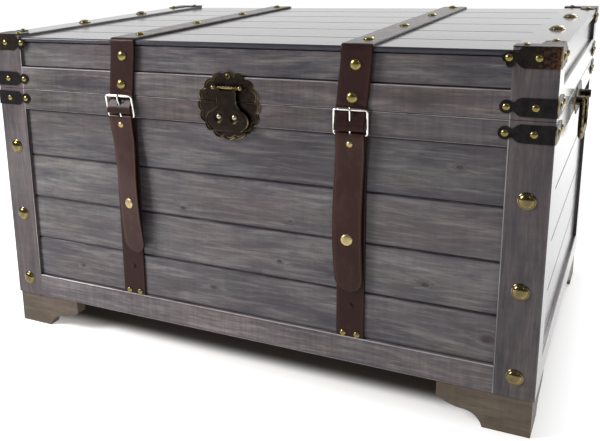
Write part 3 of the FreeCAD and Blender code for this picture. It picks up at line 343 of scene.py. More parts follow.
def make_wood(name, grain, joints=None, arris=srgb(165, 158, 160), arris_share=0.5, warm=0.0,
              light=1.0, coat=1.0, knots=False, sawn=0.1, highlight_line=None, painted_front_shade=0.0,
              streaks=0.5, stain=BOARD_STAIN):
    """Washed wood whose grain runs along "x", "y" or "z", along each wall, or along each face.

    Clouds mix the dark and the middle stain, then hue, streaks, smudges and bands lay the other
    tints over them by their shares. Fibres, wash and saw marks multiply the colour and each board
    has its own tone. Painted shade darkens the wood near the base's joints and along the gap under
    the lid. The bevels take the arris colour: pale wear, or painted shade in the grooves where that
    colour is dark. A painted highlight line is an axis and its place on it in mm; light multiplies
    the whole colour, as painted light above 1 and painted shade below 1.
    """
    material, graph, shader = new_material(name, Coat_Weight=coat, Coat_Roughness=0.12,
                                           Coat_IOR=1.25, Specular_IOR_Level=0.08)
    place, normal = object_place(graph)
    x, y, z = graph.split(place)
    if grain in ("wall", "face"):
        across, limit = (x, 0.32) if grain == "wall" else (graph.split(normal)[0], 0.7)
        spot = graph.mix_vector(graph.maths("GREATER_THAN", abs(across), limit),
                                graph.join(x, y, z), graph.join(y, x, z))
    else:
        spot = graph.join(*{"x": (x, y, z), "y": (y, x, z), "z": (z, x, y)}[grain])
    number = shade = 0.0
    if joints is not None:
        number, shade = boards_across(graph, y if joints is TOP_JOINTS else z, joints)
        # A painted shade line along the gap between the base and the lid.
        shade = shade.most(abs(z - PARTING * MM).span(0.9 * MM, 2.4 * MM, 0.9, 0.0))
    figure = graph.group(pine, Place=spot, Shift=graph.maths("MULTIPLY", number, 1.37),
                         Knot_distance=knot_distance(graph, x, z) if knots else 9.0)
    dark, middle, pale, brown = stain
    sway = graph.maths("SINE", graph.maths("MULTIPLY", number, 2.3)) * 0.045
    colour = graph.mix((figure["Cloud"] + sway).span(0.34, 0.62), dark, middle)
    for source, low, high, share, tint in (
            ("Hue", 0.46, 0.64, 0.7, brown), ("Hue", 0.44, 0.3, 0.45, srgb(110, 105, 94)),
            ("Streak", 0.48, 0.72, streaks, pale), ("Streak", 0.5, 0.3, streaks * 0.8, dark),
            ("Smudge", 0.5, 0.7, 0.6, srgb(62, 58, 66))):
        colour = graph.mix(figure[source].span(low, high) * share, colour, tint)
    colour = graph.mix(figure["Band"] * 0.12, colour, brown)
    wash = graph.noise(spot, (8, 26, 26), 4.0, 0.6).span(0.32, 0.68, 0.82, 1.18)
    fibre = figure["Fibre"].span(0.25, 0.75, 0.8, 1.2) * wash
    fibre = fibre * figure["Saw"].span(0.3, 0.7, 1 - sawn, 1 + sawn)
    colour = graph.shaded(colour, fibre)
    if joints is not None:
        tone = graph.maths("COSINE", graph.maths("MULTIPLY_ADD", number, 0.9, -1.8))
        colour = graph.shaded(colour, graph.maths("MULTIPLY_ADD", tone, 0.09, 1.0))
        # Painted shade near the base's joints.
        colour = graph.mix(shade, colour, srgb(44, 40, 48))
    # A painted highlight along a lit edge, broken by noise.
    if highlight_line is not None:
        axis, middle_of_line = highlight_line
        line = abs((z if axis == "z" else abs(x)) - middle_of_line * MM)
        broken = graph.noise(place, (9, 9, 9), 3.0).span(0.42, 0.62, 0.05, 0.7)
        colour = graph.mix(line.span(0.65 * MM, 0.25 * MM) * broken, colour, srgb(186, 180, 180))
    colour = graph.mix(figure["Knot"] * 0.8, colour, srgb(48, 38, 38))
    if warm:
        colour = graph.mix(warm, colour, srgb(140, 122, 102))
    # Faces that look forward or back, on the top boards their front edge and the walls of their
    # joints, are painted dark: painted shade.
    if painted_front_shade:
        upright = abs(graph.split(normal)[1])
        colour = graph.mix(upright.span(0.3, 0.8, 0.0, painted_front_shade), colour, srgb(38, 38, 50))
    # The bevels take the arris colour: pale wear where it is pale, painted shade in the grooves
    # where it is dark; light then scales the whole as painted light or shade.
    bevel = graph.group(arris_mask, Normal=normal)["Mask"]
    edge_tint = bevel * figure["Smudge"].span(0.35, 0.6, arris_share * 0.35, arris_share)
    colour = graph.shaded(graph.mix(edge_tint, colour, arris), light)
    graph.fill(shader, Base_Color=colour, Roughness=figure["Streak"].span(0.2, 0.8, 0.34, 0.56))
    bump(graph, shader, figure["Fibre"] * 0.5 + figure["Streak"] * 0.9, 0.35 * MM, 0.55)
    return material


# Dark bevels on the boards: painted shade in the grooves between them.
board_wood = make_wood("washed boards", "wall", WALL_JOINTS, arris=srgb(40, 36, 42),
                       arris_share=0.9, knots=True, sawn=0.05)
# The rails share one stain: light paints the lid and bottom rails lighter and the top rail darker,
# and each has a painted highlight line along a lit edge.
lid_rail_wood, top_rail_wood, bottom_rail_wood = (
    make_wood(f"washed {name} rails", "wall", WALL_JOINTS, arris_share=0.75, sawn=0.13,
              highlight_line=("z", line), light=light, stain=RAIL_STAIN)
    for name, line, light in (("lid", 372.3, 1.05), ("top", 372.3, 0.9), ("bottom", 76.5, 1.08)))
# The posts carry a painted highlight line along their inner edges, and light paints them a little
# darker.
post_wood = make_wood("washed posts", "z", arris_share=0.4, sawn=0.07, light=0.88,
                      highlight_line=("x", 307.6), streaks=0.36, stain=POST_STAIN)
# The top boards' dark bevels and forward faces are painted shade.
top_wood = make_wood("washed top boards", "x", TOP_JOINTS, arris=srgb(40, 38, 48),
                     arris_share=0.9, painted_front_shade=0.75)
strip_wood = make_wood("washed end strips", "y")
foot_wood = make_wood("weathered foot wood", "face", warm=0.3, coat=0.15, arris_share=0.3,
                      light=0.62, stain=FOOT_STAIN)
floor_wood = make_wood("plain floor panel", "x", warm=0.5, light=1.15, coat=0.0)


# ---- Metals and leather ----

def make_metal(name, metal, tarnished, roughness, size, edge_tint=None, share=0.5, rim=False,
               outline=False, rubbed_corner=None):
    """Metal with tarnished patches, whose size is in cells per metre.

    Nail heads have a rim darkened with tarnish and a darker crown, a painted reflection of a dim
    room. Other pieces have worn edges, taken from the "wear" attribute where the piece has an
    outline of its own and else from its bevels. A rubbed corner shows through in specks that
    thicken towards the chest's corners.
    """
    material, graph, shader = new_material(name, Metallic=1.0)
    place, normal = object_place(graph)
    marks = graph.group(tarnish, Place=place, Size=size)
    colour = graph.mix(marks["Patch"].span(0.35, 0.7) * share, metal, tarnished)
    colour = graph.mix(marks["Speck"] * 0.35, colour, tarnished)
    if rim:
        crown = graph.attribute("crown")
        colour = graph.mix(crown.span(0.4, 0.02, 0.0, 0.8), colour, tarnished)
        # The darker crown is a painted dark reflection, in the tarnish colour.
        colour = graph.mix(crown.span(0.62, 0.95, 0.0, 0.6), colour, tarnished)
    if rubbed_corner is not None:
        x, y, _ = graph.split(graph.vector("ABSOLUTE", place))
        nearness = [away.span((face - RUBBED) * MM, face * MM)
                    for away, face in ((x, FACE_X), (y, FACE_Y))]
        specks = graph.noise(place, (420, 420, 420), 4.0, 0.7)
        nearness = graph.maths("MINIMUM", *nearness)
        specks = specks + graph.maths("MULTIPLY_ADD", nearness, 0.19, -0.09)
        colour = graph.mix(specks.span(0.52, 0.74, 0.0, 0.68), colour, rubbed_corner)
    if edge_tint is not None:
        if outline:
            edge, rubbed = graph.attribute("wear"), graph.noise(place, (70, 70, 70))
        else:
            edge, rubbed = graph.group(arris_mask, Normal=normal)["Mask"], marks["Patch"]
        colour = graph.mix(edge * rubbed.span(0.42, 0.62, 0.05, 1.0), colour, edge_tint)
    graph.fill(shader, Base_Color=colour, Roughness=marks["Patch"] * 0.22 + (roughness - 0.08))
    bump(graph, shader, marks["Patch"], 0.25 * MM, 0.4)
    return material


brass = make_metal("antique brass", srgb(160, 146, 92), srgb(82, 72, 36), 0.24, 260.0, rim=True)
large_brass = make_metal("antique brass large", srgb(142, 128, 90), srgb(72, 60, 38), 0.15,
                         160.0, rim=True)
pin_brass = make_metal("antique brass pin", srgb(136, 118, 84), srgb(72, 58, 40), 0.24, 240.0)
cap_brass = make_metal("pale cap brass", srgb(204, 186, 142), srgb(138, 116, 76), 0.34, 240.0,
                       share=0.6, rim=True)
stud_metal = make_metal("pale studs", srgb(206, 200, 180), srgb(110, 102, 80), 0.2, 240.0,
                        rim=True)
bronze = make_metal("near-black bronze", srgb(38, 36, 36), srgb(22, 21, 22), 0.4, 150.0,
                    edge_tint=srgb(176, 156, 104), share=0.8)
cap_bronze = make_metal("rubbed bronze of the caps", srgb(42, 37, 34), srgb(24, 21, 20), 0.36,
                        150.0, edge_tint=srgb(186, 160, 104), share=0.8,
                        rubbed_corner=srgb(104, 70, 50))
hasp_bronze = make_metal("near-black hasp bronze", srgb(41, 34, 29), srgb(24, 20, 18), 0.36,
                         150.0, edge_tint=srgb(190, 170, 122), share=0.7, outline=True)
nickel = make_metal("bright nickel", srgb(232, 230, 226), srgb(160, 155, 150), 0.14, 200.0,
                    share=0.25)
steel = make_metal("hinge steel", srgb(120, 112, 100), srgb(60, 52, 44), 0.35, 150.0)


def make_leather(name, dark, middle, pale):
    """Strap leather: pebbled grain of small cells, cloudy dye, rubbed pale in noisy patches."""
    material, graph, shader = new_material(name, Coat_Weight=0.55, Coat_Roughness=0.16,
                                           Coat_IOR=1.2, Specular_IOR_Level=0.1)
    place, _ = object_place(graph)
    cloud = graph.noise(place, (26, 26, 14), 4.0, 0.6)
    rub = graph.noise(place, (90, 90, 50), 3.0, 0.65)
    cells = graph.add("ShaderNodeTexVoronoi", feature="DISTANCE_TO_EDGE")
    graph.fill(cells, Vector=place, Scale=900.0)
    pebble = Flow(graph, cells.outputs["Distance"]).span(0.0, 0.25)
    colour = graph.mix(cloud.span(0.3, 0.7), dark, middle)
    for share, tint in ((rub.span(0.5, 0.8) * 0.5, pale), ((1.0 - pebble) * 0.3, dark),
                        (graph.attribute("edge") * 0.7, srgb(24, 13, 12)),
                        (graph.attribute("line") * 0.45, pale)):
        colour = graph.mix(share, colour, tint)
    graph.fill(shader, Base_Color=colour, Roughness=rub.span(0.3, 0.7, 0.36, 0.54))
    bump(graph, shader, pebble * 0.5 + rub, 0.3 * MM, 0.45)
    return material


leather = make_leather("red-brown strap leather", srgb(31, 12, 9), srgb(45, 19, 15),
                       srgb(62, 33, 27))
flap_leather = make_leather("worn flap leather", srgb(40, 21, 17), srgb(58, 33, 28),
                            srgb(84, 58, 50))


# ---- Mesh makers ----
# A shape is its points, its faces and a value for each point.

def add_object(name, data, place=(0, 0, 0), turn=None):
    made = bpy.data.objects.new(name, data)
    made.location = place
    if turn is not None:
        made.rotation_mode = "QUATERNION"
        made.rotation_quaternion = turn
    bpy.context.scene.collection.objects.link(made)
    return made


def piece(name, shape, material, body, slot, replaced, sharp=35, **attributes):
    """A finished mesh object that rides on a body and takes the place of CAD nodes.

    The shape comes in millimetres. Attributes are values for each point; where one is given as
    True, it takes the shape's own values.
    """
    points, faces, values = shape
    mesh = bpy.data.meshes.new(name)
    mesh.from_pydata((np.asarray(points, float) * MM).tolist(), [],
                     [list(face) for face in faces])
    for label, given in attributes.items():
        given = values if given is True else given
        layer = mesh.attributes.new(label, "FLOAT", "POINT")
        layer.data.foreach_set("value", np.asarray(given, np.float32))
    mesh.validate()
    mesh.polygons.foreach_set("use_smooth", [True] * len(mesh.polygons))
    mesh.set_sharp_from_angle(angle=math.radians(sharp))
    mesh.materials.append(material)
    made = add_object(name, mesh)
    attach(made, body)
    if replaced:
        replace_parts(made, *replaced)
    return made


def join_shapes(shapes):
    """One shape from several."""
    points, faces, values, start = [], [], [], 0
    for spots, quads, marks in shapes:
        points.append(spots)
        faces += [tuple(int(i) + start for i in face) for face in quads]
        values.append(marks)
        start += len(spots)
    return np.concatenate(points), faces, np.concatenate(values)


def hill(value, middle, spread):
    """1 at the middle, falling off as exp(-((value - middle) / spread) squared)."""
    return np.exp(-((value - middle) / spread) ** 2)


def held(value):
    """The value, held between 0 and 1."""
    return np.clip(value, 0, 1)


def ring_faces(rows, columns):
    """Quads of a tube: each row is a closed ring of points."""
    i, k = np.meshgrid(np.arange(rows - 1), np.arange(columns), indexing="ij")
    after = (k + 1) % columns
    quads = np.stack([i * columns + k, i * columns + after,
                      (i + 1) * columns + after, (i + 1) * columns + k], -1)
    return quads.reshape(-1, 4)


def circle(sides):
    """(cosine, sine) at even steps of a full turn."""
    angle = np.arange(sides) * 2 * math.pi / sides
    return np.stack([np.cos(angle), np.sin(angle)], 1)


def turned(profile, seats, ways, sides):
    """Turned shapes: each point of the profile is (radius, height) along its seat's way out.

    A point is the seat, plus radius times (cosine, sine) of its angle in the seat's own plane,
    plus height along the way. The first and last point lie on the axis. The value of a point is
    its height's share of the last height.
    """
    profile = np.asarray(profile, float)
    radius, height = profile[1:-1, :, None, None].transpose(1, 0, 2, 3)
    rows, k = len(radius), np.arange(sides)
    after, last, size = (k + 1) % sides, (rows - 1) * sides, rows * sides + 2
    quads = [*ring_faces(rows, sides), *np.stack([np.full(sides, size - 2), after, k], 1),
             *np.stack([np.full(sides, size - 1), last + k, last + after], 1)]
    points, faces = [], []
    for number, (seat, way) in enumerate(zip(seats, ways)):
        way = np.asarray(way, float) / np.linalg.norm(way)
        first = np.cross([0, 1, 0] if abs(way[2]) > 0.9 else [0, 0, 1], way)
        first = first / np.linalg.norm(first)
        flat = circle(sides) @ np.stack([first, np.cross(way, first)])
        points += [seat + (radius * flat + height * way).reshape(-1, 3),
                   seat + profile[[0, -1], 1, None] * way]
        faces += [tuple(face + number * size) for face in quads]
    crown = np.concatenate([np.repeat(height, sides), profile[[0, -1], 1]]) / profile[-1, 1]
    return np.concatenate(points), faces, np.tile(held(crown), len(seats))


def swept(path, radius, sides, closed=False, scale=1.0):
    """A round bar along a path of points, with its ring carried from point to point."""
    path = np.asarray(path, float)
    ahead = np.roll(path, -1, 0) - np.roll(path, 1, 0)
    if not closed:
        ahead[0], ahead[-1] = path[1] - path[0], path[-1] - path[-2]
    ahead /= np.linalg.norm(ahead, axis=1)[:, None]
    across = np.cross(ahead[0], [0.0, 1.0, 0.0])
    if np.linalg.norm(across) < 0.1:
        across = np.cross(ahead[0], [1.0, 0.0, 0.0])
    frames = []
    for way in ahead:                      # one step per point of the path, not per vertex
        across = across - way * (across @ way)
        across = across / np.linalg.norm(across)
        frames.append(across)
    ring = circle(sides) @ np.stack([frames, np.cross(ahead, frames)], 1)
    size = radius * np.broadcast_to(scale, len(path))
    points = (path[:, None] + size[:, None, None] * ring).reshape(-1, 3)
    faces = ring_faces(len(path), sides).tolist()
    k, last = np.arange(sides), (len(path) - 1) * sides
    if closed:
        after = (k + 1) % sides
        faces += np.stack([last + k, last + after, after, k], 1).tolist()
    else:
        faces += [k[::-1].tolist(), (last + k).tolist()]
    return points, faces, np.ones(len(points))


def slab(front, back, keep=None):
    """A closed sheet from a grid of front points and a grid of back points.

    Kept cells become a front and a back face; every edge between a kept cell and an empty one,
    or the outside, becomes a wall. Also gives the numbers of the points that are used.
    """
    rows, columns = front.shape[:2]
    keep = np.ones((rows - 1, columns - 1), bool) if keep is None else keep
    behind = rows * columns
    index = np.arange(behind).reshape(rows, columns)
    a, b, c, d = index[:-1, :-1], index[:-1, 1:], index[1:, 1:], index[1:, :-1]
    kept = np.stack([a, b, c, d], -1)[keep]
    faces = kept.tolist() + (kept[:, ::-1] + behind).tolist()
    padded = np.pad(keep, 1)
    for (down, along), first, second in (((-1, 0), a, b), ((0, 1), b, c), ((1, 0), c, d),
                                         ((0, -1), d, a)):
        beside = padded[1 + down:rows + down, 1 + along:columns + along]
        u, v = first[keep & ~beside], second[keep & ~beside]
        faces += np.stack([v, u, u + behind, v + behind], 1).tolist()
    points = np.concatenate([front.reshape(-1, 3), back.reshape(-1, 3)])
    used = np.unique(np.concatenate([np.ravel(face) for face in faces]))
    renumber = np.full(len(points), -1)
    renumber[used] = np.arange(len(used))
    return points[used], [tuple(renumber[list(face)]) for face in faces], used


def sheet(front, back, values):
    """A slab whose front and back points carry the same grid of values."""
    points, faces, used = slab(front, back)
    return points, faces, np.concatenate([values.ravel()] * 2)[used]


def facing_sheet(x, z, front_y, back_y, values):
    """A sheet over a grid of x and z, with a shaped front and a flat back."""
    return sheet(*(np.stack(np.broadcast_arrays(x, y, z), -1) for y in (front_y, back_y)), values)


def smooth_path(points, step):
    """Even points along a run of straight lines."""
    points = np.asarray(points, float)
    gaps = np.linalg.norm(np.diff(points, axis=0), axis=1)
    along = np.concatenate([[0], np.cumsum(gaps)])
    spots = np.linspace(0, along[-1], max(4, int(along[-1] / step)))
    return np.stack([np.interp(spots, along, points[:, i]) for i in range(points.shape[1])], 1)


def relax(path, times):
    """Move each inner point towards the middle of its neighbours, a number of times."""
    for _ in range(times):
        path[1:-1] = path[1:-1] * 0.5 + (path[:-2] + path[2:]) * 0.25
    return path


def outward(path, turn=1):
    """The direction a quarter turn from the path's own, in the plane of Y and Z."""
    along = np.gradient(path, axis=0)
    along /= np.linalg.norm(along, axis=1)[:, None]
    return np.stack([-along[:, 1], along[:, 0]], 1) * turn


def arc(centre, radius, turn):
    """Points in the plane of Y and Z: the centre plus radius times (cosine, sine) of the turn."""
    return np.stack([centre[-2] + radius * np.cos(turn), centre[-1] + radius * np.sin(turn)], 1)


# ---- Straps ----

def strip_columns(width):
    """Places across a strap, dense at its rounded edges, and how far the skin drops there."""
    edge = np.array([0.0, 0.25, 0.6, 1.1, 1.8, 2.4])
    inner = np.linspace(3.2 - width / 2, width / 2 - 3.2, 11)
    across = np.concatenate([edge - width / 2, inner, (width / 2 - edge)[::-1]])
    fall = [0.75, 0.35, 0.12, 0.03]
    return across, np.concatenate([fall, np.zeros(15), fall[::-1]])


def cut_slot(width, rows_cut):
    """Cells of a strap that are kept when a slot is cut along its middle over some rows."""
    across, _ = strip_columns(width)
    middle = np.abs((across[:-1] + across[1:]) / 2) < SLOT_HALF_WIDTH
    return ~(middle[None, :] & rows_cut[:-1, None])


def strap(name, side_x, path, out, width, thickness, body, replaced, shift=0.0, turn=0.0,
          crown=0.0, keep=None, creases=None, taper=1.0, hide=leather):
    """Leather along a path in the plane of Y and Z, with rounded edges.

    A point is the path point, plus its place across the strap along a side direction turned by
    the strap's twist, plus or minus half the thickness along the outward direction, less the
    drop at the edges and plus the crown and the creases.
    """
    across, drop = strip_columns(width)
    rows = len(path)
    shift, turn, crown, taper = (np.broadcast_to(part, rows)
                                 for part in (shift, turn, crown, taper))
    cosine, sine = np.cos(turn)[:, None], np.sin(turn)[:, None]
    normal = np.column_stack([np.zeros(rows), out])
    straight = np.array([[1.0, 0.0, 0.0]])
    side, proud = cosine * straight + sine * normal, cosine * normal - sine * straight
    centre = np.column_stack([side_x + shift, path])
    skin = crown[:, None] * (1 - (2 * across / width) ** 2)[None, :]
    if creases is not None:
        skin = skin + creases(across)
    spread = across[None, :] * taper[:, None]
    middle = centre[:, None, :] + spread[:, :, None] * side[:, None, :]
    front = middle + (thickness / 2 - drop + skin)[:, :, None] * proud[:, None, :]
    back = middle - (thickness / 2 - drop * 0.6 - skin)[:, :, None] * proud[:, None, :]
    points, faces, used = slab(front, back, keep)
    edge, line = (np.tile(mark, rows) for mark in
                  (held(drop / 0.75), hill(np.abs(across), width / 2 - 2.4, 0.7)))
    piece(name, (points, faces, None), hide, body, "leather", replaced, sharp=60,
          edge=np.concatenate([edge, np.maximum(edge, 0.6)])[used],
          line=np.concatenate([line, line * 0])[used])


def strap_lean(label, depth, height):
    """How far a lid strap has slipped sideways: more towards the top of the lid's front, then
    less and less towards the back."""
    most = 5.0 if label == "left" else 4.8
    return most * held((height - 348) / 50) * held((FACE_Y - depth) / (2 * FACE_Y))


def make_lid_straps():
    """Each lid strap: tongue, front of the lid, over the top and down the back."""
    y, top = FACE_Y + LID_STRAP_THICK / 2, TOP_FACE + LID_STRAP_THICK / 2
    run = [(-y - 8.1, 322.6), (-y - 8.3, 328.6), (-y, 343.6), (-y, 347.5), (-y, top - 1.0),
           (-y + 0.8, top), (y - 0.8, top), (y, top - 1.0), (y, 347.4)]
    for label, sign in SIDES:
        path = relax(smooth_path(run, 1.6), 3)
        depth, height = path.T
        front = depth < 0
        rng = np.random.default_rng(5 + sign)
        phase = rng.random(3) * 6

        def creases(across):
            """Folds near the buckle, as slanted waves that fade above it, and a sag on top."""
            near = hill(height, 350, 7) * front
            wave = np.sin(height[:, None] / 1.6 + across[None, :] / 5 + phase[0])
            sag = np.sin(depth[:, None] / 60 + phase[1]) * 0.12
            return near[:, None] * wave * 0.28 + sag * (height[:, None] > 400)

        strap(f"strap_of_lid_{label}", sign * STRAP_X, path, outward(path), LID_STRAP_WIDTH,
              LID_STRAP_THICK, "lid", [f"lid_strap_{label}"],
              shift=strap_lean(label, depth, height), creases=creases,
              keep=cut_slot(LID_STRAP_WIDTH, (height > 331.5) & (height < 341) & front))


def make_under_straps():
    """Leather on the base boards; each strap has its own piece, the first stands for the node."""
    for label, sign in SIDES:
        path = smooth_path([(-247.3, 77.2), (-247.3, 315.8)], 4)
        out = np.tile([[-1.0, 0.0]], (len(path), 1))
        strap(f"under_strap_{label}", sign * STRAP_X, path, out, 33, 2.6, "base",
              ["under_straps"] if sign < 0 else [], crown=hill(path[:, 1], 115, 6) * -0.3)


def make_flaps():
    """Hanging flaps: folded over the buckle's lower bar, riveted, and hanging to a round tip.

    The left one slides sideways and twists as it hangs, the right one only a little. Gives how
    each flap hangs, for its caps.
    """
    wrap, half = 2.6, FLAP_WIDTH / 2
    fold = arc(HEEL_BAR, wrap, np.linspace(0, math.pi, 15))
    behind = [(-251.9, 299), (-251.9, 308)]
    hung = []
    for label, sign in SIDES:
        tip = FLAP_TIP[label]
        before = [(HEEL_BAR[1] - wrap, 313), (-255.4, 300), (-253.6, 288), (-252.9, 270),
                  (-253.6, 230), (-254.2, 190), (-252.8, 150), (-252.3, tip)]
        path = relax(smooth_path(np.concatenate([behind, fold, before]), 1.3), 4)
        out = outward(path, -1)
        height = path[:, 1]
        hanging = np.arange(len(path)) > int(len(path) * 0.14)
        down = held((300 - height) / 165) * hanging
        if label == "left":
            shift = 9.5 * down ** 0.8
            turn = np.radians(13) * np.sin(down * math.pi * 0.9)
        else:
            shift = -2.5 * np.sin(down * math.pi)
            turn = np.radians(-7) * np.sin(down * math.pi)
        path[:, 0] -= np.abs(np.sin(turn)) * half
        round_tip = held((height - tip) / half)
        taper = np.where(hanging, np.sqrt(np.clip(1 - (1 - round_tip) ** 2, 0.02, 1)), 1.0)

        def creases(across):
            """A pressed line inside each edge, a dip at the cap and slow waves."""
            line = hill(np.abs(across), 14.1, 0.5) * -0.12
            near_cap = hill(height, CAP_HEIGHT[label], 7) * hanging
            cap = near_cap[:, None] * hill(across, 0, 7)[None, :] * -0.35
            wave = np.sin(height[:, None] / 17) * np.sin(across[None, :] / 9) * 0.22
            return line[None, :] + cap + wave * hanging[:, None]

        strap(f"flap_{label}", sign * STRAP_X, path, out, FLAP_WIDTH, 2.3, f"flap_{label}",
              [f"strap_flap_{label}"], shift=shift, turn=turn, taper=taper, creases=creases,
              keep=cut_slot(FLAP_WIDTH, height > 318.6), hide=flap_leather)
        hung.append((label, sign * STRAP_X + shift, path, out, turn, hanging))
    return hung


# ---- Nails and caps ----

def dome(radius, rise, lip=0.12, steps=6):
    """A nail head's profile: a short upright lip, then a dome that flattens to its crown."""
    turn = np.linspace(0, math.pi / 2, steps)
    rim = [(0.0, 0.0), (radius * 0.97, 0.0), (radius, rise * lip)]
    return rim + [(radius * 0.985 * math.cos(t), rise * (lip + (1 - lip) * math.sin(t)))
                  for t in turn[:-1]] + [(0.0, rise)]


def brimmed_dome(radius, rise):
    """A large nail's profile: a low brim, a step, and a full dome."""
    brim = [(0.0, 0.0), (radius * 0.98, 0.0), (radius, rise * 0.08), (radius * 0.95, rise * 0.2),
            (radius * 0.86, rise * 0.24)]
    turn = np.linspace(0.12, math.pi / 2, 7)
    return brim + [(radius * 0.86 * math.cos(t), rise * (0.2 + 0.8 * math.sin(t)))
                   for t in turn[:-1]] + [(0.0, rise)]


def around(seats):
    """The same seats at the four corners of the chest."""
    return [((x * side, y * end, z), (way_x * side, way_y * end, way_z))
            for (x, y, z), (way_x, way_y, way_z) in seats for side in (1, -1) for end in (1, -1)]


def corner_seats(height):
    """Two nails on the front flange and two on the side flange of the corner metal."""
    seats = []
    for inward in (19, 46):
        seats.append(((FACE_X - inward, -FACE_Y - PLATE, height), (0, -1, 0)))
        seats.append(((FACE_X + PLATE, -FACE_Y + inward, height), (1, 0, 0)))
    return seats


def nails(name, profile, seats, sides, material, body, replaced, slot="brass", sharp=50):
    """Identical heads as one piece; a seat is its place and its way out."""
    piece(name, turned(profile, *zip(*seats), sides), material, body, slot, replaced, sharp,
          crown=True)


def make_nails():
    """Small nails in the corner metal, large ones in posts and end strips, and the straps'."""
    small, large = dome(3.8, 2.2), brimmed_dome(9.25, 4.5)
    forward, upward = (0, -1, 0), (0, 0, 1)
    over = CHEST_TOP + PLATE
    lid_small = [*corner_seats(404.85), *corner_seats(357),
                 ((FACE_X - 32.85, -FACE_Y + 10.15, over), upward),
                 ((FACE_X - 10.15, -FACE_Y + 46, over), upward)]
    nails("nails_of_lid_corners", small, around(lid_small), 18, brass, "lid",
          ["lid_corner_nails"])
    strap_feet = [((sign * STRAP_X + beside, UNDER_STRAP_FACE, 80.8), forward)
                  for _, sign in SIDES for beside in (-8.25, 8.25)]
    nails("nails_of_base_corners", small, around(corner_seats(330.8)) + strap_feet, 18, brass,
          "base", ["base_small_nails"])
    posts = [((FACE_X - POST_NAIL_INSET, -FACE_Y, height), forward) for height in (69, 166, 263)]
    nails("nails_of_posts", large, around(posts), 28, large_brass, "base", ["post_nails"])
    ends = [((FACE_X - POST_NAIL_INSET, 78, CHEST_TOP), upward)]
    nails("nails_of_end_strips", large, around(ends), 28, large_brass, "lid",
          ["end_strip_nails"])
    seats = []
    for label, sign in SIDES:
        for height in (357.5, 393):
            lean = strap_lean(label, -FACE_Y, height)
            seats.append(((sign * STRAP_X + lean, -FACE_Y - LID_STRAP_THICK, height), forward))
            seats.append(((sign * STRAP_X, FACE_Y + LID_STRAP_THICK, height), (0, 1, 0)))
        for depth in (-210, -60, 90, 230):
            lean = strap_lean(label, depth, TOP_FACE)
            seats.append(((sign * STRAP_X + lean, depth, TOP_FACE + LID_STRAP_THICK), upward))
    nails("nails_of_straps", dome(6.2, 3, 0.1, 7), seats, 24, brass, "lid", ["strap_nails"])
    rivets = [((sign * STRAP_X, UNDER_STRAP_FACE, 115), forward) for _, sign in SIDES]
    nails("rivets_of_under_straps", dome(3.6, 1.2), rivets, 18, leather, "base", [],
          slot="leather", sharp=35)


def make_caps(hung):
    """The snap cap and the rivet of each hanging flap, square to its leather."""
    for label, middle, path, out, turn, hanging in hung:
        shapes = []
        for height, profile in ((CAP_HEIGHT[label], dome(6.6, 1.9, 0.2, 7)),
                                (307, dome(3.75, 2.2))):
            row = int(np.argmin(np.where(hanging, np.abs(path[:, 1] - height), np.inf)))
            way = np.array([-math.sin(turn[row]), *(out[row] * math.cos(turn[row]))])
            seat = np.array([middle[row], *path[row]]) + way * 0.9
            shapes.append(turned(profile, [seat], [way], 22))
        piece(f"caps_of_flap_{label}", join_shapes(shapes), cap_brass, f"flap_{label}", "brass",
              [f"flap_studs_{label}"], sharp=50, crown=True)


# ---- Buckles ----

def both_ways(half):
    """A turned bar's profile from its outer half, given as (place along the bar, radius)."""
    half = np.array(half)
    return np.concatenate([half[::-1] * [-1, 1], half])[:, ::-1]


def loop(half_width, low, high, corner):
    """A rounded rectangle in the plane of X and Z as a closed run of points."""
    middle_z, half_height = (low + high) / 2, (high - low) / 2
    run = []
    for quarter, (sx, sz) in enumerate(((1, 1), (-1, 1), (-1, -1), (1, -1))):
        for t in np.linspace(0, math.pi / 2, 7):
            angle = quarter * math.pi / 2 + t
            run.append((sx * (half_width - corner) + corner * math.cos(angle),
                        middle_z + sz * (half_height - corner) + corner * math.sin(angle)))
    return np.array(run)


def make_buckles():
    """Wire frame with a rolled upper bar, and a prong from the lower bar to the upper one."""
    _, heel_y, heel_z = HEEL_BAR
    x, z = loop(18.7, heel_z, UPPER_BAR_Z, 2.6).T
    roll = both_ways([(13.6, 1.78), (14.2, 1.75), (14.4, 1.55), (14.4, 0)])
    eye = arc(HEEL_BAR, 2.4, np.radians(np.linspace(35, 150, 8)))
    for label, sign in SIDES:
        lean = math.radians(BUCKLE_LEAN[label])
        wire = np.column_stack([x, heel_y - math.sin(lean) * (z - heel_z),
                                heel_z + math.cos(lean) * (z - heel_z)])
        bar_y = heel_y - math.sin(lean) * (UPPER_BAR_Z - heel_z)
        bar_z = heel_z + math.cos(lean) * (UPPER_BAR_Z - heel_z)
        reach = [(-256.9, 323), (-257.0, 330), (bar_y - 2.6, bar_z - 4), (bar_y - 3.0, bar_z),
                 (bar_y - 2.4, bar_z + 2.6)]
        line = relax(smooth_path(np.concatenate([eye, reach]), 0.9), 3)
        line = np.column_stack([np.zeros(len(line)), line])
        slim = np.interp(np.linspace(0, 1, len(line)), [0, 0.35, 0.9, 1], [1, 1, 0.85, 0.55])
        points, faces, values = join_shapes(
            [swept(wire, 1.3, 12, closed=True),
             turned(roll, [(0, bar_y, bar_z)], [(1, 0, 0)], 20), swept(line, 1.05, 10, scale=slim)])
        points[:, 0] += sign * STRAP_X
        piece(f"wire_buckle_{label}", (points, faces, values), nickel, "lid", "nickel",
              [f"buckle_{label}"], sharp=45)


# ---- Hasp ----

LOBES = 16


def from_lobe(angle):
    """Angle to the middle of the nearest lobe of the scalloped plate."""
    pitch = 2 * math.pi / LOBES
    return (angle + pitch / 2) % pitch - pitch / 2


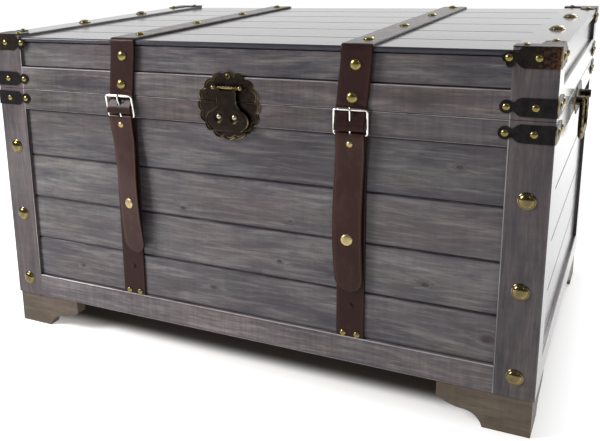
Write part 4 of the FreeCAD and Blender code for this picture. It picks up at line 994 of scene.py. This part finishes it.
def scalloped_edge(angle):
    """Radius of the scalloped plate at an angle: the furthest of its disc and its lobes.

    A lobe is a circle on the plate's pitch circle, met by a ray at
    c cos(d) + sqrt(r squared - (c sin d) squared), d being the angle to the nearest lobe.
    """
    away = from_lobe(angle)
    centre, radius, disc = 32.5, 8.5, 34
    reach = radius ** 2 - (centre * np.sin(away)) ** 2
    return np.where(reach > 0, centre * np.cos(away) + np.sqrt(np.clip(reach, 0, None)), disc)


def plate_relief(x, z):
    """Height of the scalloped plate's face and how rubbed it is.

    A raised lip follows each lobe, with a groove and an engraved petal inside it, a ring round
    the middle, a low swell and a fall at the edge; the lip is rubbed most on the plate's right
    and lower right.
    """
    angle, radius = np.arctan2(z, x), np.hypot(x, z)
    away = from_lobe(angle)
    from_edge = scalloped_edge(angle) - radius
    petal = np.hypot(radius * np.cos(away) - 31, radius * np.sin(away) * 1.3)
    relief = (hill(from_edge, 0.8, 0.5) * 0.35 - hill(from_edge, 2.4, 0.45) * 0.35
              - hill(petal, 3.6, 0.4) * 0.25 * (radius > 27) - hill(radius, 24.5, 0.5) * 0.25
              + 0.5 * held(1 - (radius / 36) ** 2) - 0.5 * held(1 - from_edge / 0.6) ** 2)
    right = 0.35 + 0.65 * held(np.cos(angle + 0.35) * 1.4)
    wear = np.maximum(held(1.15 - from_edge / 1.2) * right,
                      hill(from_edge, 3.4, 0.5) * right * 0.35)
    return relief, wear


def hasp_ear(left_x):
    """A small ear that holds the pin: a plate 1.2 mm thick with straight sides that end in an arc
    round the pin, (y - r cos t, z + r sin t) with t from -136 to 136 degrees."""
    t = np.radians(np.linspace(-135.6, 135.6, 20))
    foot = [(-250.3, HASP_PIN[2] + 2.38), (-250.3, HASP_PIN[2] - 2.38)]
    edge = np.concatenate([arc(HASP_PIN, 3.4, math.pi - t), foot])
    k = np.arange(len(edge))
    after, far = (k + 1) % len(edge), k + len(edge)
    points = np.concatenate([np.column_stack([np.full(len(edge), x), edge])
                             for x in (left_x, left_x + 1.2)])
    faces = np.stack([k, after, after + len(edge), far], 1).tolist()
    return points, faces + [k[::-1].tolist(), far.tolist()], np.full(len(points), 0.1)


def make_hasp_plates():
    """The two parts of the plate, each a fan of rays from the plate's centre.

    A point is the ray's angle and a share of the way from the inner edge to the outer one; the
    parting cuts each ray where it crosses the line's height.
    """
    for name, body, node, parting in (
            ("hasp_plate_on_lid", "lid", "hasp_upper_plate", 344.5),
            ("hasp_plate_on_base", "base", "hasp_lower_plate", 343.3)):
        cut = parting - HASP_CENTRE
        if body == "lid":
            tip = math.asin(cut / 40.9)
            angle = np.linspace(tip, math.pi - tip, 281)
            outer = scalloped_edge(angle)
            inner = np.minimum(cut / np.sin(angle), outer - 0.05)
        else:
            angle = np.linspace(0, 2 * math.pi, 561)
            rise = np.sin(angle)
            line = np.where(rise > 1e-6, cut / np.maximum(rise, 1e-6), np.inf)
            outer = np.minimum(scalloped_edge(angle), line)
            inner = np.full(len(angle), 0.2)
        steps = np.linspace(1, 0, 46) ** 0.7
        radius = inner[:, None] + (outer - inner)[:, None] * steps[None, :]
        x, z = radius * np.cos(angle)[:, None], radius * np.sin(angle)[:, None]
        lift, wear = plate_relief(x, z)
        shapes = [facing_sheet(x, z + HASP_CENTRE, -FACE_Y - 1.0 - np.maximum(lift, -0.6),
                               -FACE_Y, wear)]
        if body == "lid":
            shapes += [hasp_ear(12.8), hasp_ear(-14.0)]
        piece(name, join_shapes(shapes), hasp_bronze, body, "dark_bronze", [node], sharp=40,
              wear=True)


def flap_half_width(z):
    """Half-width of the hasp flap at a height: a full belly, curved shoulders, a straight neck."""
    heights = [HASP_FLAP_LOW, 310.4, 312.2, 314.5, 317.2, 320, 322.5, 325.5, 328.5, 331.2, 333.4,
               335.2, 337, 339, 341, 343.5, 347, 358]
    widths = [17.4, 19.2, 21.8, 24.2, 26.2, 27.3, 27.5, 27.2, 26.0, 23.9, 21.2, 18.6, 16.4, 14.6,
              13.4, 12.8, 12.5, 12.5]
    return np.interp(z, heights, widths)


def make_hasp_flap():
    """The hasp's hanging plate with its curls round the pin, and its two studs.

    The plate is a grid of heights and shares of the half-width, lifted to a shallow dish with a
    raised lip along its outline and a round well at each stud, and hammered by a product of
    sines towards its sides.
    """
    low = HASP_FLAP_LOW
    z = np.concatenate([low + np.array([0, 0.25, 0.6, 1.1, 1.7, 2.4]),
                        np.linspace(low + 3.2, 357.8, 66)])
    across = np.sin(np.linspace(-math.pi / 2, math.pi / 2, 73))
    half = flap_half_width(z)
    x = half[:, None] * across[None, :]
    height = np.tile(z[:, None], (1, len(across)))
    from_side = half[:, None] * (1 - np.abs(across))[None, :]
    from_edge = np.minimum(from_side, height - low)
    lip = hill(from_edge, 1.0, 0.6) * 0.45 - hill(from_edge, 2.6, 0.5) * 0.25
    belly = held(1 - ((height - 325) / 17) ** 2 - (x / 27) ** 2) * 0.5
    wells = sum(np.exp(-(np.hypot(x - at, height - STUD_Z) / 5.6) ** 8) for at in STUD_X)
    dents = (np.sin(x / 1.1 + np.sin(height / 1.7) * 1.4) * np.sin(height + x / 2.4) * 0.1
             * (np.abs(x) > 16))
    fall = 0.4 * held(1 - from_edge / 0.5) ** 2
    wear = held(1.15 - from_side / 0.9) * np.where(x > 0, 1.0, 0.75)
    wear = wear * np.clip((height - 311) / 4, 0.2, 1)
    for at in STUD_X:
        mark = np.hypot((x - at) / 1.6, height - 320.2)
        wear = np.maximum(wear, hill(mark, 0, 0.8) * 0.8)
    relief = lip + belly - wells + dents - fall
    shapes = [facing_sheet(x, height, HASP_FLAP_FACE - relief, HASP_FLAP_BACK, wear)]
    curl = arc(HASP_PIN, 2.75, np.linspace(math.pi, math.pi * 2.78, 26))
    path = np.concatenate([[(-256.2, 355.5), (-257.0, 358.5)], curl])
    path = relax(smooth_path(path, 0.7), 2)
    out = outward(path, -1)
    for low_x in (-12.5, 8.0):
        grids = np.empty((2, len(path), 5, 3))
        grids[..., 0] = np.linspace(low_x, low_x + 4.5, 5)
        for grid, lift in zip(grids, (0.6, -0.55)):
            grid[..., 1:] = (path + out * lift)[:, None]
        shapes.append(sheet(*grids, np.zeros(grid.shape[:2])))
    piece("hasp_hanging_plate", join_shapes(shapes), hasp_bronze, "hasp_flap", "dark_bronze",
          ["hasp_flap"], sharp=40, wear=True)
    stud = [(0.0, -4.6), (1.45, -4.6), (1.45, 0.0)] + dome(3.2, 2.4)[1:]
    points, faces, crown = turned(stud, [(at, -256.2, STUD_Z) for at in STUD_X],
                                  [(0, -1, 0)] * 2, 20)
    piece("studs_of_hasp", (points, faces, crown * 0.5 + 0.5), stud_metal, "hasp_flap", "brass",
          ["hasp_studs"], sharp=50, crown=True)


def make_hasp_pin():
    """The hasp's pin: a bar with a fine groove at each collar and a ball at each end.

    A ball is a half circle of its radius that starts where the bar meets it.
    """
    ball = 3.2
    turn = np.linspace(math.pi - math.asin(1.9 / ball), 0, 12)
    half = [(13.0, 2.0), (13.2, 1.75), (13.5, 1.75), (13.7, 2.1), (14.4, 2.15)]
    half += [(17.25 + ball * math.cos(t), ball * math.sin(t)) for t in turn]
    piece("turned_pin_of_hasp", turned(both_ways(half), [HASP_PIN], [(1, 0, 0)], 24), pin_brass,
          "lid", "brass", ["hasp_pin"], sharp=50)
    nails("top_nail_of_hasp", dome(3.4, 2.0),
          [((0.0, -FACE_Y - 1.1, HASP_CENTRE + 34.5), (0, -1, 0))], 20, bronze, "lid", [],
          slot="dark_bronze")


# ---- Carried-over CAD nodes ----

# The first word found in a node's name gives its material and the rounding of its edges in mm.
CAD_FINISHES = (
    ("feet", foot_wood, 0.6), ("bottom_panel", floor_wood, 0), ("top_board", top_wood, 0),
    ("board", board_wood, 0), ("lid_rails", lid_rail_wood, 0), ("top_rail", top_rail_wood, 0),
    ("rail", bottom_rail_wood, 0), ("post", post_wood, 0), ("end_strips", strip_wood, 0),
    ("hinge", steel, 0), ("lid_corner_caps", cap_bronze, 0.45), ("corner", bronze, 0.45),
    ("", bronze, 0))


def round_edges(node, width):
    """Merge a CAD mesh's loose triangles and round its sharp edges, as a modifier stack."""
    node.modifiers.new("merge", "WELD").merge_threshold = 1e-6
    bevel = node.modifiers.new("round", "BEVEL")
    bevel.width = width * MM
    bevel.segments = 2
    bevel.limit_method = "ANGLE"
    bevel.angle_limit = math.radians(25)
    bevel.harden_normals = False


def finish_cad_nodes():
    """Give the nodes that no piece replaces their materials and rounded edges."""
    hidden = {name for made in bpy.data.objects for name in list(made.get("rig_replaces", []))}
    for name in sorted(set(nodes) - hidden):
        _, material, rounding = next(finish for finish in CAD_FINISHES if finish[0] in name)
        nodes[name].data.materials.clear()
        nodes[name].data.materials.append(material)
        if rounding:
            round_edges(nodes[name], rounding)


# ---- Stage ----

# Distances out from the chest's foot, in metres, and what the floor glows with there.
SHADE_IN, SHADE_OUT = -0.056, -0.021         # under the chest the floor is painted dark as its shadow
# Close to the chest the glow is low, painted shade round its foot.
NEAR_GLOW, FAR_GLOW = (-0.08, 0.06, 0.05, 0.66), (0.1, 1.0, 0.0, 0.12)
BOUNCE = (0.0, 0.5, 0.3, 0.0)                # light that the floor throws on the chest
SHADOW_FLOOR, WHITE_FLOOR = (0.16, 0.16, 0.16, 1), (0.9, 0.9, 0.9, 1)
WHITE = (1, 1, 1, 1)
ROOM_IN_FRONT, WORLD_LIGHT = 0.14, 0.26      # mirrored room, and the world's light on surfaces
LAMPS = (                                    # name, place, target, size in metres, watts
    ("left_softbox", (-1.05, -1.0, 0.95), (-0.1, -0.25, 0.2), 0.5, 24.5),
    ("right_softbox", (1.5, -2.2, 1.9), (0, -0.2, 0.2), 0.35, 2.8),
    ("back_softbox", (1.0, 2.3, 1.9), (0, 0.2, 0.2), 1.2, 45))


def seen_directly(graph):
    """Whether a ray mirrors, and whether it comes from the camera, mirrors or passes through."""
    paths = graph.add("ShaderNodeLightPath").outputs
    camera, mirrored, through = (Flow(graph, paths[f"Is {kind} Ray"])
                                 for kind in ("Camera", "Glossy", "Transmission"))
    return mirrored, camera.most(mirrored.most(through))


def make_floor():
    """A white floor that glows for the camera, with a painted shadow under and round the chest, and
    throws some light.
    """
    material, graph, shader = new_material("studio floor", Roughness=0.9, Specular_IOR_Level=0.0,
                                           Emission_Color=WHITE)
    _, seen = seen_directly(graph)
    x, y, _ = graph.split(graph.vector("ABSOLUTE", object_place(graph)[0]))
    away = (x - FACE_X * MM).most(y - FACE_Y * MM)
    # Painted shadow: under the chest the floor's colour darkens and its glow stops.
    outside_painted_shadow = away.span(SHADE_IN, SHADE_OUT, smooth=True)
    rise = away.span(*NEAR_GLOW, smooth=True) + away.span(*FAR_GLOW, smooth=True)
    glow = seen * rise * outside_painted_shadow + (1.0 - seen) * away.span(*BOUNCE)
    graph.fill(shader, Base_Color=graph.mix(outside_painted_shadow, SHADOW_FLOOR, WHITE_FLOOR),
               Emission_Strength=glow)
    mesh = bpy.data.meshes.new("studio_floor")
    mesh.from_pydata([(-6, -6, 0), (6, -6, 0), (6, 6, 0), (-6, 6, 0)], [], [(0, 1, 2, 3)])
    mesh.materials.append(material)
    floor = add_object("studio_floor", mesh)


def make_world():
    """A white world; metal mirrors it as a room that is dim in front."""
    world = bpy.data.worlds.new("studio")
    bpy.context.scene.world = world
    world.use_nodes = True
    graph = Graph(world.node_tree)
    mirrored, seen = seen_directly(graph)
    _, way_y, *_ = graph.split(graph.value("ShaderNodeTexCoord", "Generated"))
    room = way_y.span(-0.25, 0.3, ROOM_IN_FRONT, 1.0, smooth=True)
    graph.fill(world.node_tree.nodes["Background"], Color=WHITE,
               Strength=seen.span(0.0, 1.0, WORLD_LIGHT, 1.0) * room.most(1.0 - mirrored))


def make_lamps():
    """Soft square area lamps, each facing its target."""
    for name, place, target, size, power in LAMPS:
        light = bpy.data.lights.new(name, "AREA")
        light.size, light.energy = size, power
        facing = (Vector(target) - Vector(place)).to_track_quat("-Z", "Y")
        add_object(name, light, place, facing).visible_camera = False


def make_camera():
    """A plain lens on a sensor 36 mm wide, to the right of the chest's front."""
    camera = bpy.data.cameras.new("camera")
    camera.sensor_width = 36.0
    camera.lens = 48.305
    camera.shift_x, camera.shift_y = 0.1598, -0.0983
    camera.clip_start, camera.clip_end = 0.05, 50.0
    turn = Quaternion((0.769787, 0.588247, 0.164173, 0.185582))
    bpy.context.scene.camera = add_object("camera", camera, (0.4201, -1.0667, 0.5145), turn)


make_lid_straps()
make_under_straps()
make_caps(make_flaps())
make_nails()
make_buckles()
make_hasp_plates()
make_hasp_flap()
make_hasp_pin()
finish_cad_nodes()
make_floor()
make_world()
make_lamps()
make_camera()

view = bpy.context.scene.view_settings
view.view_transform = "Standard"
